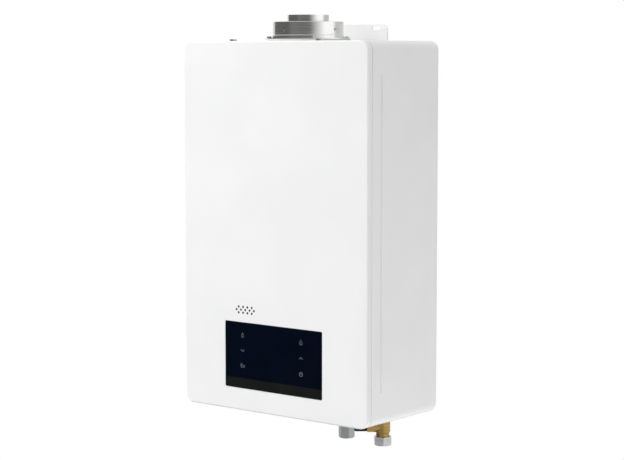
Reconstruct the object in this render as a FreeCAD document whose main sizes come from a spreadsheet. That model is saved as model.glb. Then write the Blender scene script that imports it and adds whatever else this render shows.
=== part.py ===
# A wall-hung gas water heater with a coaxial flue, as separate pieces in one frame.
# The wall is the plane y = 0, the front faces -Y and +Z is up. The origin lies on the wall,
# midway between the two hanging slots. Lengths are in millimetres.
import FreeCAD, Part
import math
import os
import re
import Sketcher
from FreeCAD import Placement, Rotation, Vector

# Driving dimensions.
SIZES = {
    # case and front cover
    "case_width": 340,
    "case_height": 540,
    "case_depth": 170,
    "sheet_gauge": 1,
    "corner_radius": 14,
    "rear_edge_radius": 1.5,
    "cover_rim": 10,
    "cover_edge_radius": 2.2,
    "seam_gap": 0.8,
    "slip_gap": 0.3,
    "lip_width": 9,
    "seal_height": 3,
    "seal_width": 6,
    "side_bead_setback": 32.2,
    "side_bead_width": 3.2,
    "side_bead_margin": 47.5,
    "side_bead_depth": 0.6,
    "screw_offset": 80,
    "screw_radius": 2,
    "screw_head_radius": 5,
    "screw_head_height": 2.4,
    "screw_length": 7,
    "recess_width": 0.9,
    "recess_depth": 0.9,
    # brackets
    "bracket_gauge": 2,
    "bracket_edge": 20.5,
    "bracket_top_edge": 5.6,
    "bracket_lap": 46,
    "bracket_corner": 8,
    "slot_rise": 19,
    "slot_spacing": 115,
    "slot_length": 15,
    "slot_width": 5,
    "foot_hole_spacing": 80,
    "foot_hole_radius": 3,
    "foot_drop": 9,
    "foot_edge": 14,
    "foot_lap": 36,
    # touch glass, its frame and the speaker
    "glass_width": 181.4,
    "glass_height": 97.7,
    "glass_thickness": 3,
    "glass_proud": 0.4,
    "glass_rise": 33.1,
    "glass_corner": 2,
    "glass_chamfer": 0.5,
    "frame_margin": 6,
    "frame_plate": 4,
    "frame_ledge": 6,
    "frame_wall": 2,
    "frame_wall_height": 10,
    "board_gauge": 1.6,
    "connector_height": 6,
    "touch_pad_inset": 36,
    "touch_pad_pitch": 22.9,
    "touch_pad_radius": 4,
    "touch_pad_rise": 7.2,
    "speaker_inset": 38.6,
    "speaker_width": 46,
    "speaker_height": 22,
    "speaker_depth": 9,
    "grille_hole_radius": 1.3,
    "grille_pitch": 8.3,
    "grille_row_pitch": 4.3,
    # flue
    "pipe_radius": 30.2,
    "pipe_wall": 0.7,
    "pipe_rise": 37.7,
    "pipe_stop": 2.5,
    "collar_radius": 51.4,
    "collar_wall": 1.2,
    "collar_rise": 27.9,
    "collar_band": 0.8,
    "collar_band_height": 5,
    "flange_radius": 61.8,
    "flange_gauge": 1.5,
    "gasket_height": 3,
    "flange_screw_circle": 56.8,
    "flange_screw_radius": 1.5,
    "lock_hole_radius": 1.75,
    "lock_hole_rise": 16.5,
    "lock_hole_shift": 2.6,
    # heating works
    "part_gap": 0.3,
    "run_gap": 0.1,
    "works_gap": 3,
    "works_back_gap": 32,
    "works_side_gap": 74,
    "burner_height": 90,
    "works_wall": 1.2,
    "bar_pitch": 17,
    "bar_width": 11,
    "bar_height": 58,
    "bar_rise": 12,
    "chamber_height": 185,
    "fin_height": 55,
    "fin_pitch": 6,
    "fin_gauge": 0.6,
    "fin_margin": 20,
    "tube_radius": 7,
    "tube_wall": 0.8,
    "bend_radius": 14,
    "coil_rise": 25,
    "coil_pitch": 42,
    "tube_stub": 10.5,
    "hood_height": 42,
    "hood_slope": 22,
    "hood_wall": 0.8,
    "neck_height": 16,
    # fan
    "fan_rise": 68,
    "duct_rise": 62,
    "impeller_radius": 40,
    "impeller_length": 42,
    "impeller_gap": 4,
    "blade_count": 28,
    "blade_depth": 7,
    "scroll_step": 5,
    "scroll_wall": 1.5,
    "fan_depth": 52,
    "fan_flange": 8,
    "outlet_width": 46,
    "eye_radius": 30,
    "motor_radius": 24,
    "motor_length": 22,
    "shaft_radius": 3,
    # gas train
    "gas_spacing": 65.7,
    "inlet_setback": 80,
    "thread_radius": 10.48,
    "thread_bevel": 1,
    "gas_drop": 38.9,
    "gas_bore": 7,
    "gas_across": 21,
    "gas_turn": 23.5,
    "gas_thread_radius": 7.48,
    "gas_thread_length": 12,
    "flange_across": 27,
    "flange_height": 5,
    "nipple_radius": 10.2,
    "nipple_height": 14,
    "lock_nut_height": 5,
    "valve_width": 44,
    "valve_depth": 52,
    "valve_height": 50,
    "valve_corner": 5,
    "solenoid_radius": 11,
    "solenoid_height": 30,
    "solenoid_plate": 2,
    "plunger_radius": 5,
    "plunger_length": 26,
    "plunger_seat": 12,
    "outlet_rise": 24,
    "riser_radius": 6,
    "riser_wall": 0.8,
    "riser_bend": 12,
    "manifold_depth": 14,
    "manifold_height": 22,
    "manifold_rise": 20,
    "nozzle_radius": 2.2,
    "nozzle_length": 8,
    # water fittings
    "cold_inset": 39,
    "water_bore": 6,
    "tee_radius": 10.9,
    "tee_drop": 22.5,
    "branch_radius": 10.2,
    "branch_reach": 22.5,
    "branch_drop": 12.3,
    "branch_bore": 8,
    "branch_turn": 38.6,
    "neck_radius": 8.6,
    "neck_collar": 9.6,
    "neck_show": 5.9,
    "union_across": 24,
    "union_turn": 11.3,
    "union_height": 12.6,
    "union_bore": 9.32,
    "union_recess": 9.7,
    "union_recess_height": 3.6,
    "union_top_wall": 1.8,
    "washer_height": 1.8,
    "knob_radius": 9,
    "knob_length": 18.8,
    "plug_length": 8,
    "filter_radius": 5.4,
    "filter_wall": 0.5,
    "filter_length": 12,
    "hot_thread_length": 16,
    "sensor_radius": 15,
    "sensor_bore": 10,
    "sensor_height": 52,
    "sensor_shelf": 4,
    "rotor_radius": 9.4,
    "rotor_height": 14,
    "rotor_hub": 2.6,
    "pin_radius": 0.8,
    "blade_gauge": 1,
    "blade_turn": 40,
    "pipe_nut_across": 26,
    "pipe_nut_lap": 8,
    "pipe_nut_cap": 4,
    # electrics
    "tray_depth": 34,
    "tray_height": 108,
    "tray_wall": 2,
    "tray_gap": 6,
    "igniter_width": 30,
    "igniter_depth": 36,
    "igniter_height": 48,
    "ceramic_radius": 2.5,
    "ceramic_reach": 20,
    "electrode_radius": 0.9,
    "electrode_reach": 14,
    "switch_radius": 8,
    "switch_height": 6,
    "gland_radius": 8,
    "gland_flange": 12,
    "gland_drop": 10,
    "gland_offset": 50,
    "gland_setback": 34,
}

# Places and lengths that follow from the driving dimensions.
PLACES = {
    "case_top": "-slot_rise",
    "case_bottom": "case_top - case_height",
    "case_mid": "case_top - case_height / 2",
    "shell_back": "-bracket_gauge",
    "case_front": "shell_back - case_depth",
    "inner_back": "shell_back - sheet_gauge",
    "inner_front": "case_front + sheet_gauge",
    "inner_side": "case_width / 2 - sheet_gauge",
    "inner_floor": "case_bottom + sheet_gauge",
    "pan_depth": "case_depth - cover_rim - seam_gap",
    "collar_depth": "cover_rim + seam_gap - sheet_gauge - seal_height",
    "collar_inset": "sheet_gauge + slip_gap",
    "mitre": "collar_inset + sheet_gauge + 2 * lip_width",
    "case_half": "case_width / 2",
    "back_seam": "bracket_gauge + rear_edge_radius",
    "lip_front": "inner_front + seal_height",
    "screw_y": "(lip_front + sheet_gauge + shell_back - pan_depth) / 2",
    "side_rib": "inner_side - side_bead_depth - part_gap",
    "bracket_half": "slot_spacing / 2 + bracket_edge",
    "foot_half": "foot_hole_spacing / 2 + foot_edge",
    "glass_mid": "case_bottom + glass_rise + glass_height / 2",
    "glass_seat": "glass_thickness - glass_proud - sheet_gauge",
    "frame_top": "glass_mid + glass_height / 2 + frame_margin",
    "frame_back": "inner_front + frame_plate + frame_wall_height",
    "module_back": "frame_back + board_gauge + connector_height",
    "speaker_mid": "frame_top + works_gap / 2 + speaker_height / 2",
    "speaker_offset": "glass_width / 2 - speaker_inset",
    "touch_pad_offset": "glass_width / 2 - touch_pad_inset",
    "works_front": "inner_front + speaker_depth + works_gap + manifold_depth",
    "works_back": "inner_back - works_back_gap",
    "works_mid": "(works_front + works_back) / 2",
    "works_half": "inner_side - works_side_gap",
    "cold_x": "inner_side - cold_inset",
    "inlet_y": "-inlet_setback",
    "gas_x": "cold_x - gas_spacing",
    "scroll_radius": "impeller_radius + impeller_gap",
    "scroll_reach": "scroll_radius + 3 * scroll_step",
    "fan_x": "gas_x - valve_width / 2 - works_gap - fan_flange - scroll_wall - scroll_reach",
    "fan_z": "case_bottom + fan_rise",
    "fan_front": "module_back + works_gap + motor_length",
    "burner_floor": "fan_z + duct_rise",
    "burner_top": "burner_floor + burner_height",
    "chamber_top": "burner_top + chamber_height",
    "fin_bottom": "chamber_top - fin_height",
    "fin_mid": "chamber_top - fin_height / 2",
    "tube_first": "works_front + fin_margin",
    "tube_pitch": "(works_back - works_front - 2 * fin_margin) / 3",
    "tube_last": "works_back - fin_margin",
    "chamber_corner": "bend_radius - tube_radius - part_gap",
    "coil_side": "works_half + tube_radius + part_gap",
    "riser_side": "works_half + tube_stub + bend_radius",
    "hood_top": "chamber_top + hood_height",
    "neck_top": "hood_top + neck_height",
    "neck_radius_out": "pipe_radius + run_gap + hood_wall",
    "gas_riser_x": "max(works_half + works_gap + riser_radius; gas_x + valve_width / 2 + riser_bend + works_gap)",
    "manifold_half": "gas_riser_x - riser_bend - 1",
    "manifold_y": "works_front - manifold_depth / 2",
    "manifold_z": "burner_floor + manifold_rise",
    "valve_floor": "inner_floor + lock_nut_height + part_gap",
    "valve_top": "valve_floor + valve_height",
    "valve_outlet": "valve_floor + outlet_rise",
    "sensor_floor": "inner_floor + lock_nut_height + part_gap",
    "sensor_top": "sensor_floor + sensor_height",
    "cold_joint": "sensor_top + nipple_height",
    "hot_joint": "case_bottom + nipple_height",
    "union_top": "case_bottom - tee_drop - neck_show",
    "drain_x": "cold_x - (branch_reach + part_gap) * cos(branch_turn)",
    "drain_y": "inlet_y - (branch_reach + part_gap) * sin(branch_turn)",
    "tray_left": "-side_rib",
    "tray_right": "-works_half - tray_gap",
    "tray_front": "module_back + works_gap",
    "tray_floor": "inner_floor + corner_radius",
}

AXIS_TURNS = {
    "X": Rotation(Vector(0, 1, 0), 90),
    "Y": Rotation(Vector(1, 0, 0), -90),
    "Z": Rotation(),
}

doc = FreeCAD.newDocument("gas_water_heater")
nodes = []


def expression(text):
    """The text with each named size pointed at its cell and each named place at its value."""
    def point(match):
        name = match.group(0)
        if name in SIZES:
            return "dims." + name
        if name in PLACES:
            return "places." + name
        return name
    return re.sub(r"[A-Za-z_][A-Za-z_0-9]*", point, text)


def make_sheet():
    sheet = doc.addObject("Spreadsheet::Sheet", "dims")
    for row, (name, value) in enumerate(SIZES.items(), 1):
        sheet.set(f"A{row}", name)
        sheet.set(f"B{row}", str(value))
        sheet.setAlias(f"B{row}", name)
    doc.recompute()
    return sheet


def make_places():
    places = doc.addObject("App::VarSet", "places")
    for name, text in PLACES.items():
        places.addProperty("App::PropertyFloat", name, "Places")
        places.setExpression(name, expression(text))
    doc.recompute()
    return places


dims = make_sheet()
places = make_places()


def size(name):
    """The number behind a named size or place."""
    return float(dims.get(name)) if name in SIZES else float(getattr(places, name))


def value(text):
    """What an expression in named sizes comes to."""
    return float(places.evalExpression(expression(text)))


def bind(obj, **texts):
    for name, text in texts.items():
        obj.setExpression(name, expression(text))


def place(obj, x="0", y="0", z="0"):
    for axis, text in zip("xyz", (x, y, z)):
        obj.setExpression("Placement.Base." + axis, expression(text))


def keep(obj, label):
    """Name a finished sub-part and put it on the list of nodes."""
    obj.Label = label
    nodes.append(obj)
    return obj


# Sketch geometry.

def new_sketch(body, role, offset="0"):
    sketch = body.newObject("Sketcher::SketchObject", body.Name + "_sketch")
    plane = next(item for item in body.Origin.OriginFeatures if item.Role == role)
    sketch.AttachmentSupport = (plane, [""])
    sketch.MapMode = "FlatFace"
    sketch.setExpression("AttachmentOffset.Base.z", expression(offset))
    return sketch


def hold(sketch, kind, geometry, vertex, text):
    """Keep a vertex at a named distance from the sketch's origin."""
    index = sketch.addConstraint(Sketcher.Constraint(kind, -1, 1, geometry, vertex, value(text)))
    sketch.setExpression(f"Constraints[{index}]", expression(text))


def hold_radius(sketch, geometry, text):
    index = sketch.addConstraint(Sketcher.Constraint("Radius", geometry, value(text)))
    sketch.setExpression(f"Constraints[{index}]", expression(text))


def polygon(sketch, points):
    count = len(points)
    first = sketch.GeometryCount
    corners = [Vector(value(x), value(y), 0) for x, y in points]
    for index in range(count):
        sketch.addGeometry(Part.LineSegment(corners[index], corners[(index + 1) % count]), False)
    for index in range(count):
        following = first + (index + 1) % count
        sketch.addConstraint(Sketcher.Constraint("Coincident", first + index, 2, following, 1))
    for index, (x, y) in enumerate(points):
        hold(sketch, "DistanceX", first + index, 1, x)
        hold(sketch, "DistanceY", first + index, 1, y)
    return sketch


def rectangle(sketch, x0, x1, y0, y1):
    return polygon(sketch, [(x0, y0), (x1, y0), (x1, y1), (x0, y1)])


def circle(sketch, radius, x="0", y="0"):
    index = sketch.GeometryCount
    centre = Vector(value(x), value(y), 0)
    sketch.addGeometry(Part.Circle(centre, Vector(0, 0, 1), value(radius)), False)
    hold_radius(sketch, index, radius)
    hold(sketch, "DistanceX", index, 3, x)
    hold(sketch, "DistanceY", index, 3, y)
    return sketch


def round_off(centre, radius, begin, sweep):
    """An arc from one angle through another, in degrees."""
    ring = Part.Circle(centre, Vector(0, 0, 1), radius)
    return Part.ArcOfCircle(ring, math.radians(begin), math.radians(begin + sweep))


def closed_outline(sketch, centres, radius, sweep):
    """Tangent arcs about the centres, counter-clockwise, with a straight line before each."""
    first = sketch.GeometryCount
    arcs = [round_off(centre, radius, begin, sweep) for centre, begin in centres]
    for index, arc in enumerate(arcs):
        sketch.addGeometry(Part.LineSegment(arcs[index - 1].EndPoint, arc.StartPoint), False)
        sketch.addGeometry(arc, False)
    count = 2 * len(arcs)
    for index in range(count):
        following = first + (index + 1) % count
        sketch.addConstraint(Sketcher.Constraint("Tangent", first + index, 2, following, 1))
    for index in range(3, count, 2):
        sketch.addConstraint(Sketcher.Constraint("Equal", first + 1, first + index))
    return first


def rounded_rectangle(sketch, width, height, radius, x="0", y="0"):
    left, right = f"({x}) - ({width}) / 2", f"({x}) + ({width}) / 2"
    low, high = f"({y}) - ({height}) / 2", f"({y}) + ({height}) / 2"
    bend = value(radius)
    x0, x1 = value(left) + bend, value(right) - bend
    y0, y1 = value(low) + bend, value(high) - bend
    centres = [(Vector(x1, y0, 0), -90), (Vector(x1, y1, 0), 0), (Vector(x0, y1, 0), 90), (Vector(x0, y0, 0), 180)]
    first = closed_outline(sketch, centres, bend, 90)
    for line, direction in ((0, "Horizontal"), (4, "Horizontal"), (2, "Vertical"), (6, "Vertical")):
        sketch.addConstraint(Sketcher.Constraint(direction, first + line))
    hold_radius(sketch, first + 1, radius)
    hold(sketch, "DistanceX", first + 2, 1, right)
    hold(sketch, "DistanceX", first + 6, 1, left)
    hold(sketch, "DistanceY", first + 0, 1, low)
    hold(sketch, "DistanceY", first + 4, 1, high)
    return sketch


def slot(sketch, length, width, x="0", y="0", upright=False):
    """A round-ended slot of an overall length, level or upright."""
    reach = value(f"(({length}) - ({width})) / 2")
    middle = Vector(value(x), value(y), 0)
    if upright:
        centres = [(middle + Vector(0, reach, 0), 0), (middle - Vector(0, reach, 0), 180)]
    else:
        centres = [(middle + Vector(reach, 0, 0), -90), (middle - Vector(reach, 0, 0), 90)]
    first = closed_outline(sketch, centres, value(f"({width}) / 2"), 180)
    sketch.addConstraint(Sketcher.Constraint("Vertical" if upright else "Horizontal", first))
    hold_radius(sketch, first + 1, f"({width}) / 2")
    along, across = ("DistanceY", "DistanceX") if upright else ("DistanceX", "DistanceY")
    level, offset = (y, x) if upright else (x, y)
    hold(sketch, along, first + 1, 3, f"({level}) + (({length}) - ({width})) / 2")
    hold(sketch, along, first + 3, 3, f"({level}) - (({length}) - ({width})) / 2")
    hold(sketch, across, first + 1, 3, offset)
    return sketch


# Features of a body.

def new_body(name, x="0", y="0", z="0", turn=None):
    body = doc.addObject("PartDesign::Body", name)
    if turn:
        body.Placement = Placement(Vector(), turn)
    place(body, x, y, z)
    return body


def pad(body, sketch, length, backwards=False):
    feature = body.newObject("PartDesign::Pad", body.Name + "_pad")
    feature.Profile = sketch
    feature.Reversed = backwards
    bind(feature, Length=length)
    return feature


def pocket(body, sketch, depth, forwards=False):
    """Cut a sketch into the body, against its normal or, forwards, along it."""
    doc.recompute()
    before = body.Shape.Volume
    feature = body.newObject("PartDesign::Pocket", body.Name + "_pocket")
    feature.Profile = sketch
    feature.Reversed = forwards
    bind(feature, Length=depth)
    doc.recompute()
    if body.Shape.Volume >= before:
        raise ValueError(f"a pocket of {body.Name} cuts nothing")
    return feature


def revolve(body, sketch):
    feature = body.newObject("PartDesign::Revolution", body.Name + "_turned")
    feature.Profile = sketch
    feature.ReferenceAxis = (sketch, ["V_Axis"])
    feature.Angle = 360
    return feature


def turned(body, points):
    """Turn a half profile, given as radius and height, about the body's Z axis."""
    return revolve(body, polygon(new_sketch(body, "XZ_Plane"), points))


def pattern_around(body, feature, count):
    doc.recompute()
    pattern = body.newObject("PartDesign::PolarPattern", body.Name + "_pattern")
    pattern.Originals = [feature]
    axis = next(item for item in body.Origin.OriginFeatures if item.Role == "Z_Axis")
    pattern.Axis = (axis, [""])
    pattern.Angle = 360
    bind(pattern, Occurrences=count)
    body.Tip = pattern
    return pattern


def edge_names(shape, test):
    return [f"Edge{index}" for index, edge in enumerate(shape.Edges, 1) if test(edge)]


def fillet(body, radius, test):
    doc.recompute()
    base = body.Tip
    feature = body.newObject("PartDesign::Fillet", body.Name + "_fillet")
    feature.Base = (base, edge_names(base.Shape, test))
    bind(feature, Radius=radius)
    return feature


def chamfer(body, width, test):
    doc.recompute()
    base = body.Tip
    feature = body.newObject("PartDesign::Chamfer", body.Name + "_chamfer")
    feature.Base = (base, edge_names(base.Shape, test))
    bind(feature, Size=width)
    return feature


def lies_at(axis, value):
    """A test for edges that lie wholly in the plane where one coordinate has a value."""
    def test(edge):
        box = edge.BoundBox
        low, high = {"x": (box.XMin, box.XMax), "y": (box.YMin, box.YMax), "z": (box.ZMin, box.ZMax)}[axis]
        return abs(low - value) < 1e-4 and abs(high - value) < 1e-4
    return test


def runs_along(axis):
    """A test for straight edges along one axis."""
    def test(edge):
        direction = edge.tangentAt(edge.FirstParameter)
        return edge.Curve.TypeId == "Part::GeomLine" and abs(getattr(direction, axis)) > 0.999
    return test


# Primitives and booleans.

def block(x0, x1, y0, y1, z0, z1):
    obj = doc.addObject("Part::Box", "block")
    bind(obj, Length=f"({x1}) - ({x0})", Width=f"({y1}) - ({y0})", Height=f"({z1}) - ({z0})")
    place(obj, x0, y0, z0)
    return obj


def rod(radius, length, x="0", y="0", z="0", axis="Z"):
    obj = doc.addObject("Part::Cylinder", "rod")
    obj.Placement = Placement(Vector(), AXIS_TURNS[axis])
    bind(obj, Radius=radius, Height=length)
    place(obj, x, y, z)
    return obj


def hexagon(across, height, x="0", y="0", z="0", axis="Z"):
    obj = doc.addObject("Part::Prism", "hexagon")
    obj.Polygon = 6
    obj.Placement = Placement(Vector(), AXIS_TURNS[axis])
    bind(obj, Circumradius=f"({across}) / sqrt(3)", Height=height)
    place(obj, x, y, z)
    return obj


def fuse(*shapes):
    obj = doc.addObject("Part::MultiFuse", "fusion")
    obj.Shapes = list(shapes)
    return obj


def cut(base, *tools):
    obj = doc.addObject("Part::Cut", "cut")
    obj.Base = base
    obj.Tool = tools[0] if len(tools) == 1 else group(*tools)
    return obj


def group(*shapes):
    """Separate solids held as one object."""
    obj = doc.addObject("Part::Compound", "group")
    obj.Links = list(shapes)
    return obj


def tube(outer, inner, length, x="0", y="0", z="0", axis="Z"):
    return cut(rod(outer, length, x, y, z, axis), rod(inner, length, x, y, z, axis))


def solid_of(shape, name):
    obj = doc.addObject("Part::Feature", name)
    obj.Shape = shape
    obj.Placement = Placement()
    return obj


# Bent tubes.

def rounded_path(points, radius):
    """Straight runs through the points, with a tangent arc at each inner point."""
    corners = [Vector(*point) for point in points]
    edges = []
    last = corners[0]

    def run_to(point):
        if last.distanceToPoint(point) > 1e-6:
            edges.append(Part.LineSegment(last, point).toShape())

    for before, corner, after in zip(corners, corners[1:], corners[2:]):
        back = (before - corner).normalize()
        ahead = (after - corner).normalize()
        half_turn = (math.pi - back.getAngle(ahead)) / 2
        inset = radius * math.tan(half_turn)
        inward = (back + ahead).normalize()
        middle = corner + inward * (radius / math.cos(half_turn) - radius)
        begin = corner + back * inset
        end = corner + ahead * inset
        run_to(begin)
        edges.append(Part.Arc(begin, middle, end).toShape())
        last = end
    run_to(corners[-1])
    return Part.Wire(edges)


def bent_tube(points, bend, outer, wall):
    path = rounded_path(points, bend)
    first = path.Edges[0]
    start = first.valueAt(first.FirstParameter)
    along = first.tangentAt(first.FirstParameter)

    def sweep(radius):
        return path.makePipeShell([Part.Wire(Part.makeCircle(radius, start, along))], True, False)

    hollow = sweep(outer).cut(sweep(outer - wall))
    section = math.pi * (outer ** 2 - (outer - wall) ** 2)
    if abs(hollow.Volume / (section * path.Length) - 1) > 0.01:
        raise ValueError("a bent tube's volume is not its section times its length")
    return hollow.Solids[0]


# Case.

def case_form():
    """The whole case behind the cover, before it is parted into its panels."""
    body = new_body("case_form", y="shell_back", z="case_mid")
    outline = new_sketch(body, "XZ_Plane")
    rounded_rectangle(outline, "case_width", "case_height", "corner_radius")
    pad(body, outline, "pan_depth")
    fillet(body, "rear_edge_radius", lies_at("y", 0))
    hollow = new_sketch(body, "XZ_Plane", "sheet_gauge")
    inner = "case_{} - 2 * sheet_gauge"
    rounded_rectangle(hollow, inner.format("width"), inner.format("height"), "corner_radius - sheet_gauge")
    pocket(body, hollow, "pan_depth - 2 * sheet_gauge", forwards=True)
    fillet(body, "rear_edge_radius - sheet_gauge", lies_at("y", -size("sheet_gauge")))

    step = "case_{} - 2 * collar_inset"
    collar = new_sketch(body, "XZ_Plane", "pan_depth")
    rounded_rectangle(collar, step.format("width"), step.format("height"), "corner_radius - collar_inset")
    pad(body, collar, "collar_depth")
    throat = new_sketch(body, "XZ_Plane", "pan_depth - sheet_gauge")
    bore = "case_{} - 2 * collar_inset - 2 * sheet_gauge"
    rounded_rectangle(throat, bore.format("width"), bore.format("height"),
                      "corner_radius - collar_inset - sheet_gauge")
    pocket(body, throat, "collar_depth", forwards=True)
    mouth = new_sketch(body, "XZ_Plane", "pan_depth + collar_depth")
    open_size = bore + " - 2 * lip_width"
    rectangle(mouth, *[text for axis in ("width", "height")
                       for text in (f"-({open_size.format(axis)}) / 2", f"({open_size.format(axis)}) / 2")])
    pocket(body, mouth, "sheet_gauge + seam_gap")

    bead_y = "-(case_depth - side_bead_setback)"
    bead_length = "case_height - 2 * side_bead_margin"
    for side, inwards in (("case_width / 2", False), ("-case_width / 2", True)):
        groove = new_sketch(body, "YZ_Plane", side)
        slot(groove, bead_length, "side_bead_width", bead_y, upright=True)
        pocket(body, groove, "side_bead_depth", forwards=inwards)
    for side, inwards in (("inner_side", True), ("-inner_side", False)):
        rib = new_sketch(body, "YZ_Plane", side)
        slot(rib, bead_length, "side_bead_width", bead_y, upright=True)
        pad(body, rib, "side_bead_depth", backwards=inwards)

    top = new_sketch(body, "XY_Plane", "case_height / 2")
    circle(top, "collar_radius - collar_wall", "0", "works_mid - shell_back")
    for x in (-1, 1):
        for y in (-1, 1):
            spot = "flange_screw_circle * sqrt(0.5)"
            circle(top, "flange_screw_radius + run_gap", f"{x} * {spot}", f"works_mid - shell_back + {y} * {spot}")
    pocket(body, top, "2 * sheet_gauge")

    floor = new_sketch(body, "XY_Plane", "-case_height / 2")
    hole = "nipple_radius + part_gap"
    circle(floor, hole, "cold_x", "inlet_y - shell_back")
    circle(floor, hole, "gas_x", "inlet_y - shell_back")
    circle(floor, hole, "-riser_side", "tube_last - shell_back")
    circle(floor, "gland_radius + part_gap", "-gland_offset", "-gland_setback - shell_back")
    pocket(body, floor, "2 * sheet_gauge", forwards=True)

    for side, upwards in (("case_height / 2", False), ("-case_height / 2", True)):
        screws = new_sketch(body, "XY_Plane", side)
        for x in ("-screw_offset", "screw_offset"):
            circle(screws, "screw_radius + run_gap", x, "screw_y - shell_back")
        pocket(body, screws, "collar_inset + sheet_gauge + part_gap", forwards=upwards)
    return body


def common(base, tool):
    obj = doc.addObject("Part::Common", "common")
    obj.Base = base
    obj.Tool = tool
    return obj


def case_panels():
    """The back panel and four sides, mitred at the rounded corners and welded into one case."""
    form = case_form()
    back = block("-case_half", "case_half", "-back_seam", "shell_back", "case_bottom", "case_top")
    keep(common(form, back), "case_back")
    inner, roof, floor = "case_half - mitre", "case_top - mitre", "case_bottom + mitre"
    sides = {
        "case_top": [("-case_half", "case_top"), (f"-({inner})", roof), (inner, roof), ("case_half", "case_top")],
        "case_floor": [("-case_half", "case_bottom"), ("case_half", "case_bottom"), (inner, floor),
                       (f"-({inner})", floor)],
        "case_left": [("-case_half", "case_top"), ("-case_half", "case_bottom"), (f"-({inner})", floor),
                      (f"-({inner})", roof)],
        "case_right": [("case_half", "case_top"), (inner, roof), (inner, floor), ("case_half", "case_bottom")],
    }
    for label, points in sides.items():
        wedge = new_body(label + "_wedge")
        pad(wedge, polygon(new_sketch(wedge, "XZ_Plane", "back_seam"), points), "case_depth")
        keep(common(form, wedge), label)


def front_cover():
    body = new_body("front_cover", y="case_front", z="case_mid")
    outline = new_sketch(body, "XZ_Plane", "-cover_rim")
    rounded_rectangle(outline, "case_width", "case_height", "corner_radius")
    pad(body, outline, "cover_rim")
    hollow = new_sketch(body, "XZ_Plane", "-cover_rim")
    inner = "case_{} - 2 * sheet_gauge"
    rounded_rectangle(hollow, inner.format("width"), inner.format("height"), "corner_radius - sheet_gauge")
    pocket(body, hollow, "cover_rim - sheet_gauge", forwards=True)
    fillet(body, "cover_edge_radius - sheet_gauge", lies_at("y", size("sheet_gauge")))
    fillet(body, "cover_edge_radius", lies_at("y", 0))

    window = new_sketch(body, "XZ_Plane")
    rounded_rectangle(window, "glass_width + 2 * part_gap", "glass_height + 2 * part_gap",
                      "glass_corner + part_gap", "0", "glass_mid - case_mid")
    pocket(body, window, "2 * sheet_gauge")
    grille = new_sketch(body, "XZ_Plane")
    for row, holes in ((1, 4), (0, 5), (-1, 4)):
        for index in range(holes):
            across = index - (holes - 1) / 2
            circle(grille, "grille_hole_radius", f"-speaker_offset + {across} * grille_pitch",
                   f"speaker_mid - case_mid + {row} * grille_row_pitch")
    pocket(body, grille, "2 * sheet_gauge")

    notch = "(screw_radius + part_gap)"
    for side, upwards in (("case_height / 2", False), ("-case_height / 2", True)):
        notches = new_sketch(body, "XY_Plane", side)
        for x in ("-screw_offset", "screw_offset"):
            rectangle(notches, f"{x} - {notch}", f"{x} + {notch}",
                      f"screw_y - case_front - {notch}", "cover_rim + seam_gap")
        pocket(body, notches, "2 * sheet_gauge", forwards=upwards)
    keep(body, "front_cover")


def cover_seal():
    body = new_body("cover_seal", y="inner_front", z="case_mid")
    strip = new_sketch(body, "XZ_Plane", "-seal_height")
    inset = "cover_edge_radius + part_gap"
    for extra in ("0", "seal_width"):
        rounded_rectangle(strip, f"case_width - 2 * ({inset} + {extra})", f"case_height - 2 * ({inset} + {extra})",
                          "corner_radius - cover_edge_radius - part_gap" if extra == "0" else "sheet_gauge")
    pad(body, strip, "seal_height")
    keep(body, "cover_seal")


def cross_recess(x, y, top, head_radius):
    """A screwdriver's cross in the top of a screw head."""
    arm, half, floor = f"({head_radius}) * 0.6", "recess_width / 2", f"{top} - recess_depth"
    return [block(f"{x} - {across}", f"{x} + {across}", f"{y} - {along}", f"{y} + {along}", floor, f"{top} + 1")
            for across, along in ((arm, half), (half, arm))]


def cover_screws():
    screws = []
    for x in ("-screw_offset", "screw_offset"):
        screw = fuse(
            rod("screw_head_radius", "screw_head_height", x, "screw_y", "case_top + run_gap"),
            rod("screw_radius", "screw_length + run_gap", x, "screw_y", "case_top - screw_length"))
        screws.append(cut(screw, *cross_recess(x, "screw_y", "case_top + run_gap + screw_head_height",
                                               "screw_head_radius")))
    keep(group(*screws), "cover_screws")


def cover_pins():
    """Pins that the cover's lower edge drops onto, flush with its rim."""
    keep(group(*[rod("screw_radius", "screw_length", x, "screw_y", "case_bottom + run_gap")
                 for x in ("-screw_offset", "screw_offset")]), "cover_pins")


def upper_bracket():
    body = new_body("upper_bracket")
    plate = new_sketch(body, "XZ_Plane")
    rectangle(plate, "-bracket_half", "bracket_half", "case_top - bracket_lap", "bracket_top_edge")
    pad(body, plate, "bracket_gauge")
    fillet(body, "bracket_corner", runs_along("y"))
    slots = new_sketch(body, "XZ_Plane", "bracket_gauge")
    for side in (-1, 1):
        slot(slots, "slot_length", "slot_width", f"{side} * slot_spacing / 2")
    pocket(body, slots, "2 * bracket_gauge")
    keep(body, "upper_bracket")


def lower_bracket():
    body = new_body("lower_bracket", z="case_bottom")
    plate = new_sketch(body, "XZ_Plane")
    rectangle(plate, "-foot_half", "foot_half", "-foot_drop - foot_edge / 2", "foot_lap")
    pad(body, plate, "bracket_gauge")
    fillet(body, "bracket_corner / 2", runs_along("y"))
    holes = new_sketch(body, "XZ_Plane", "bracket_gauge")
    for side in (-1, 1):
        circle(holes, "foot_hole_radius", f"{side} * foot_hole_spacing / 2", "-foot_drop")
    pocket(body, holes, "2 * bracket_gauge")
    keep(body, "lower_bracket")


# Touch glass and what sits behind it.

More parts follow.
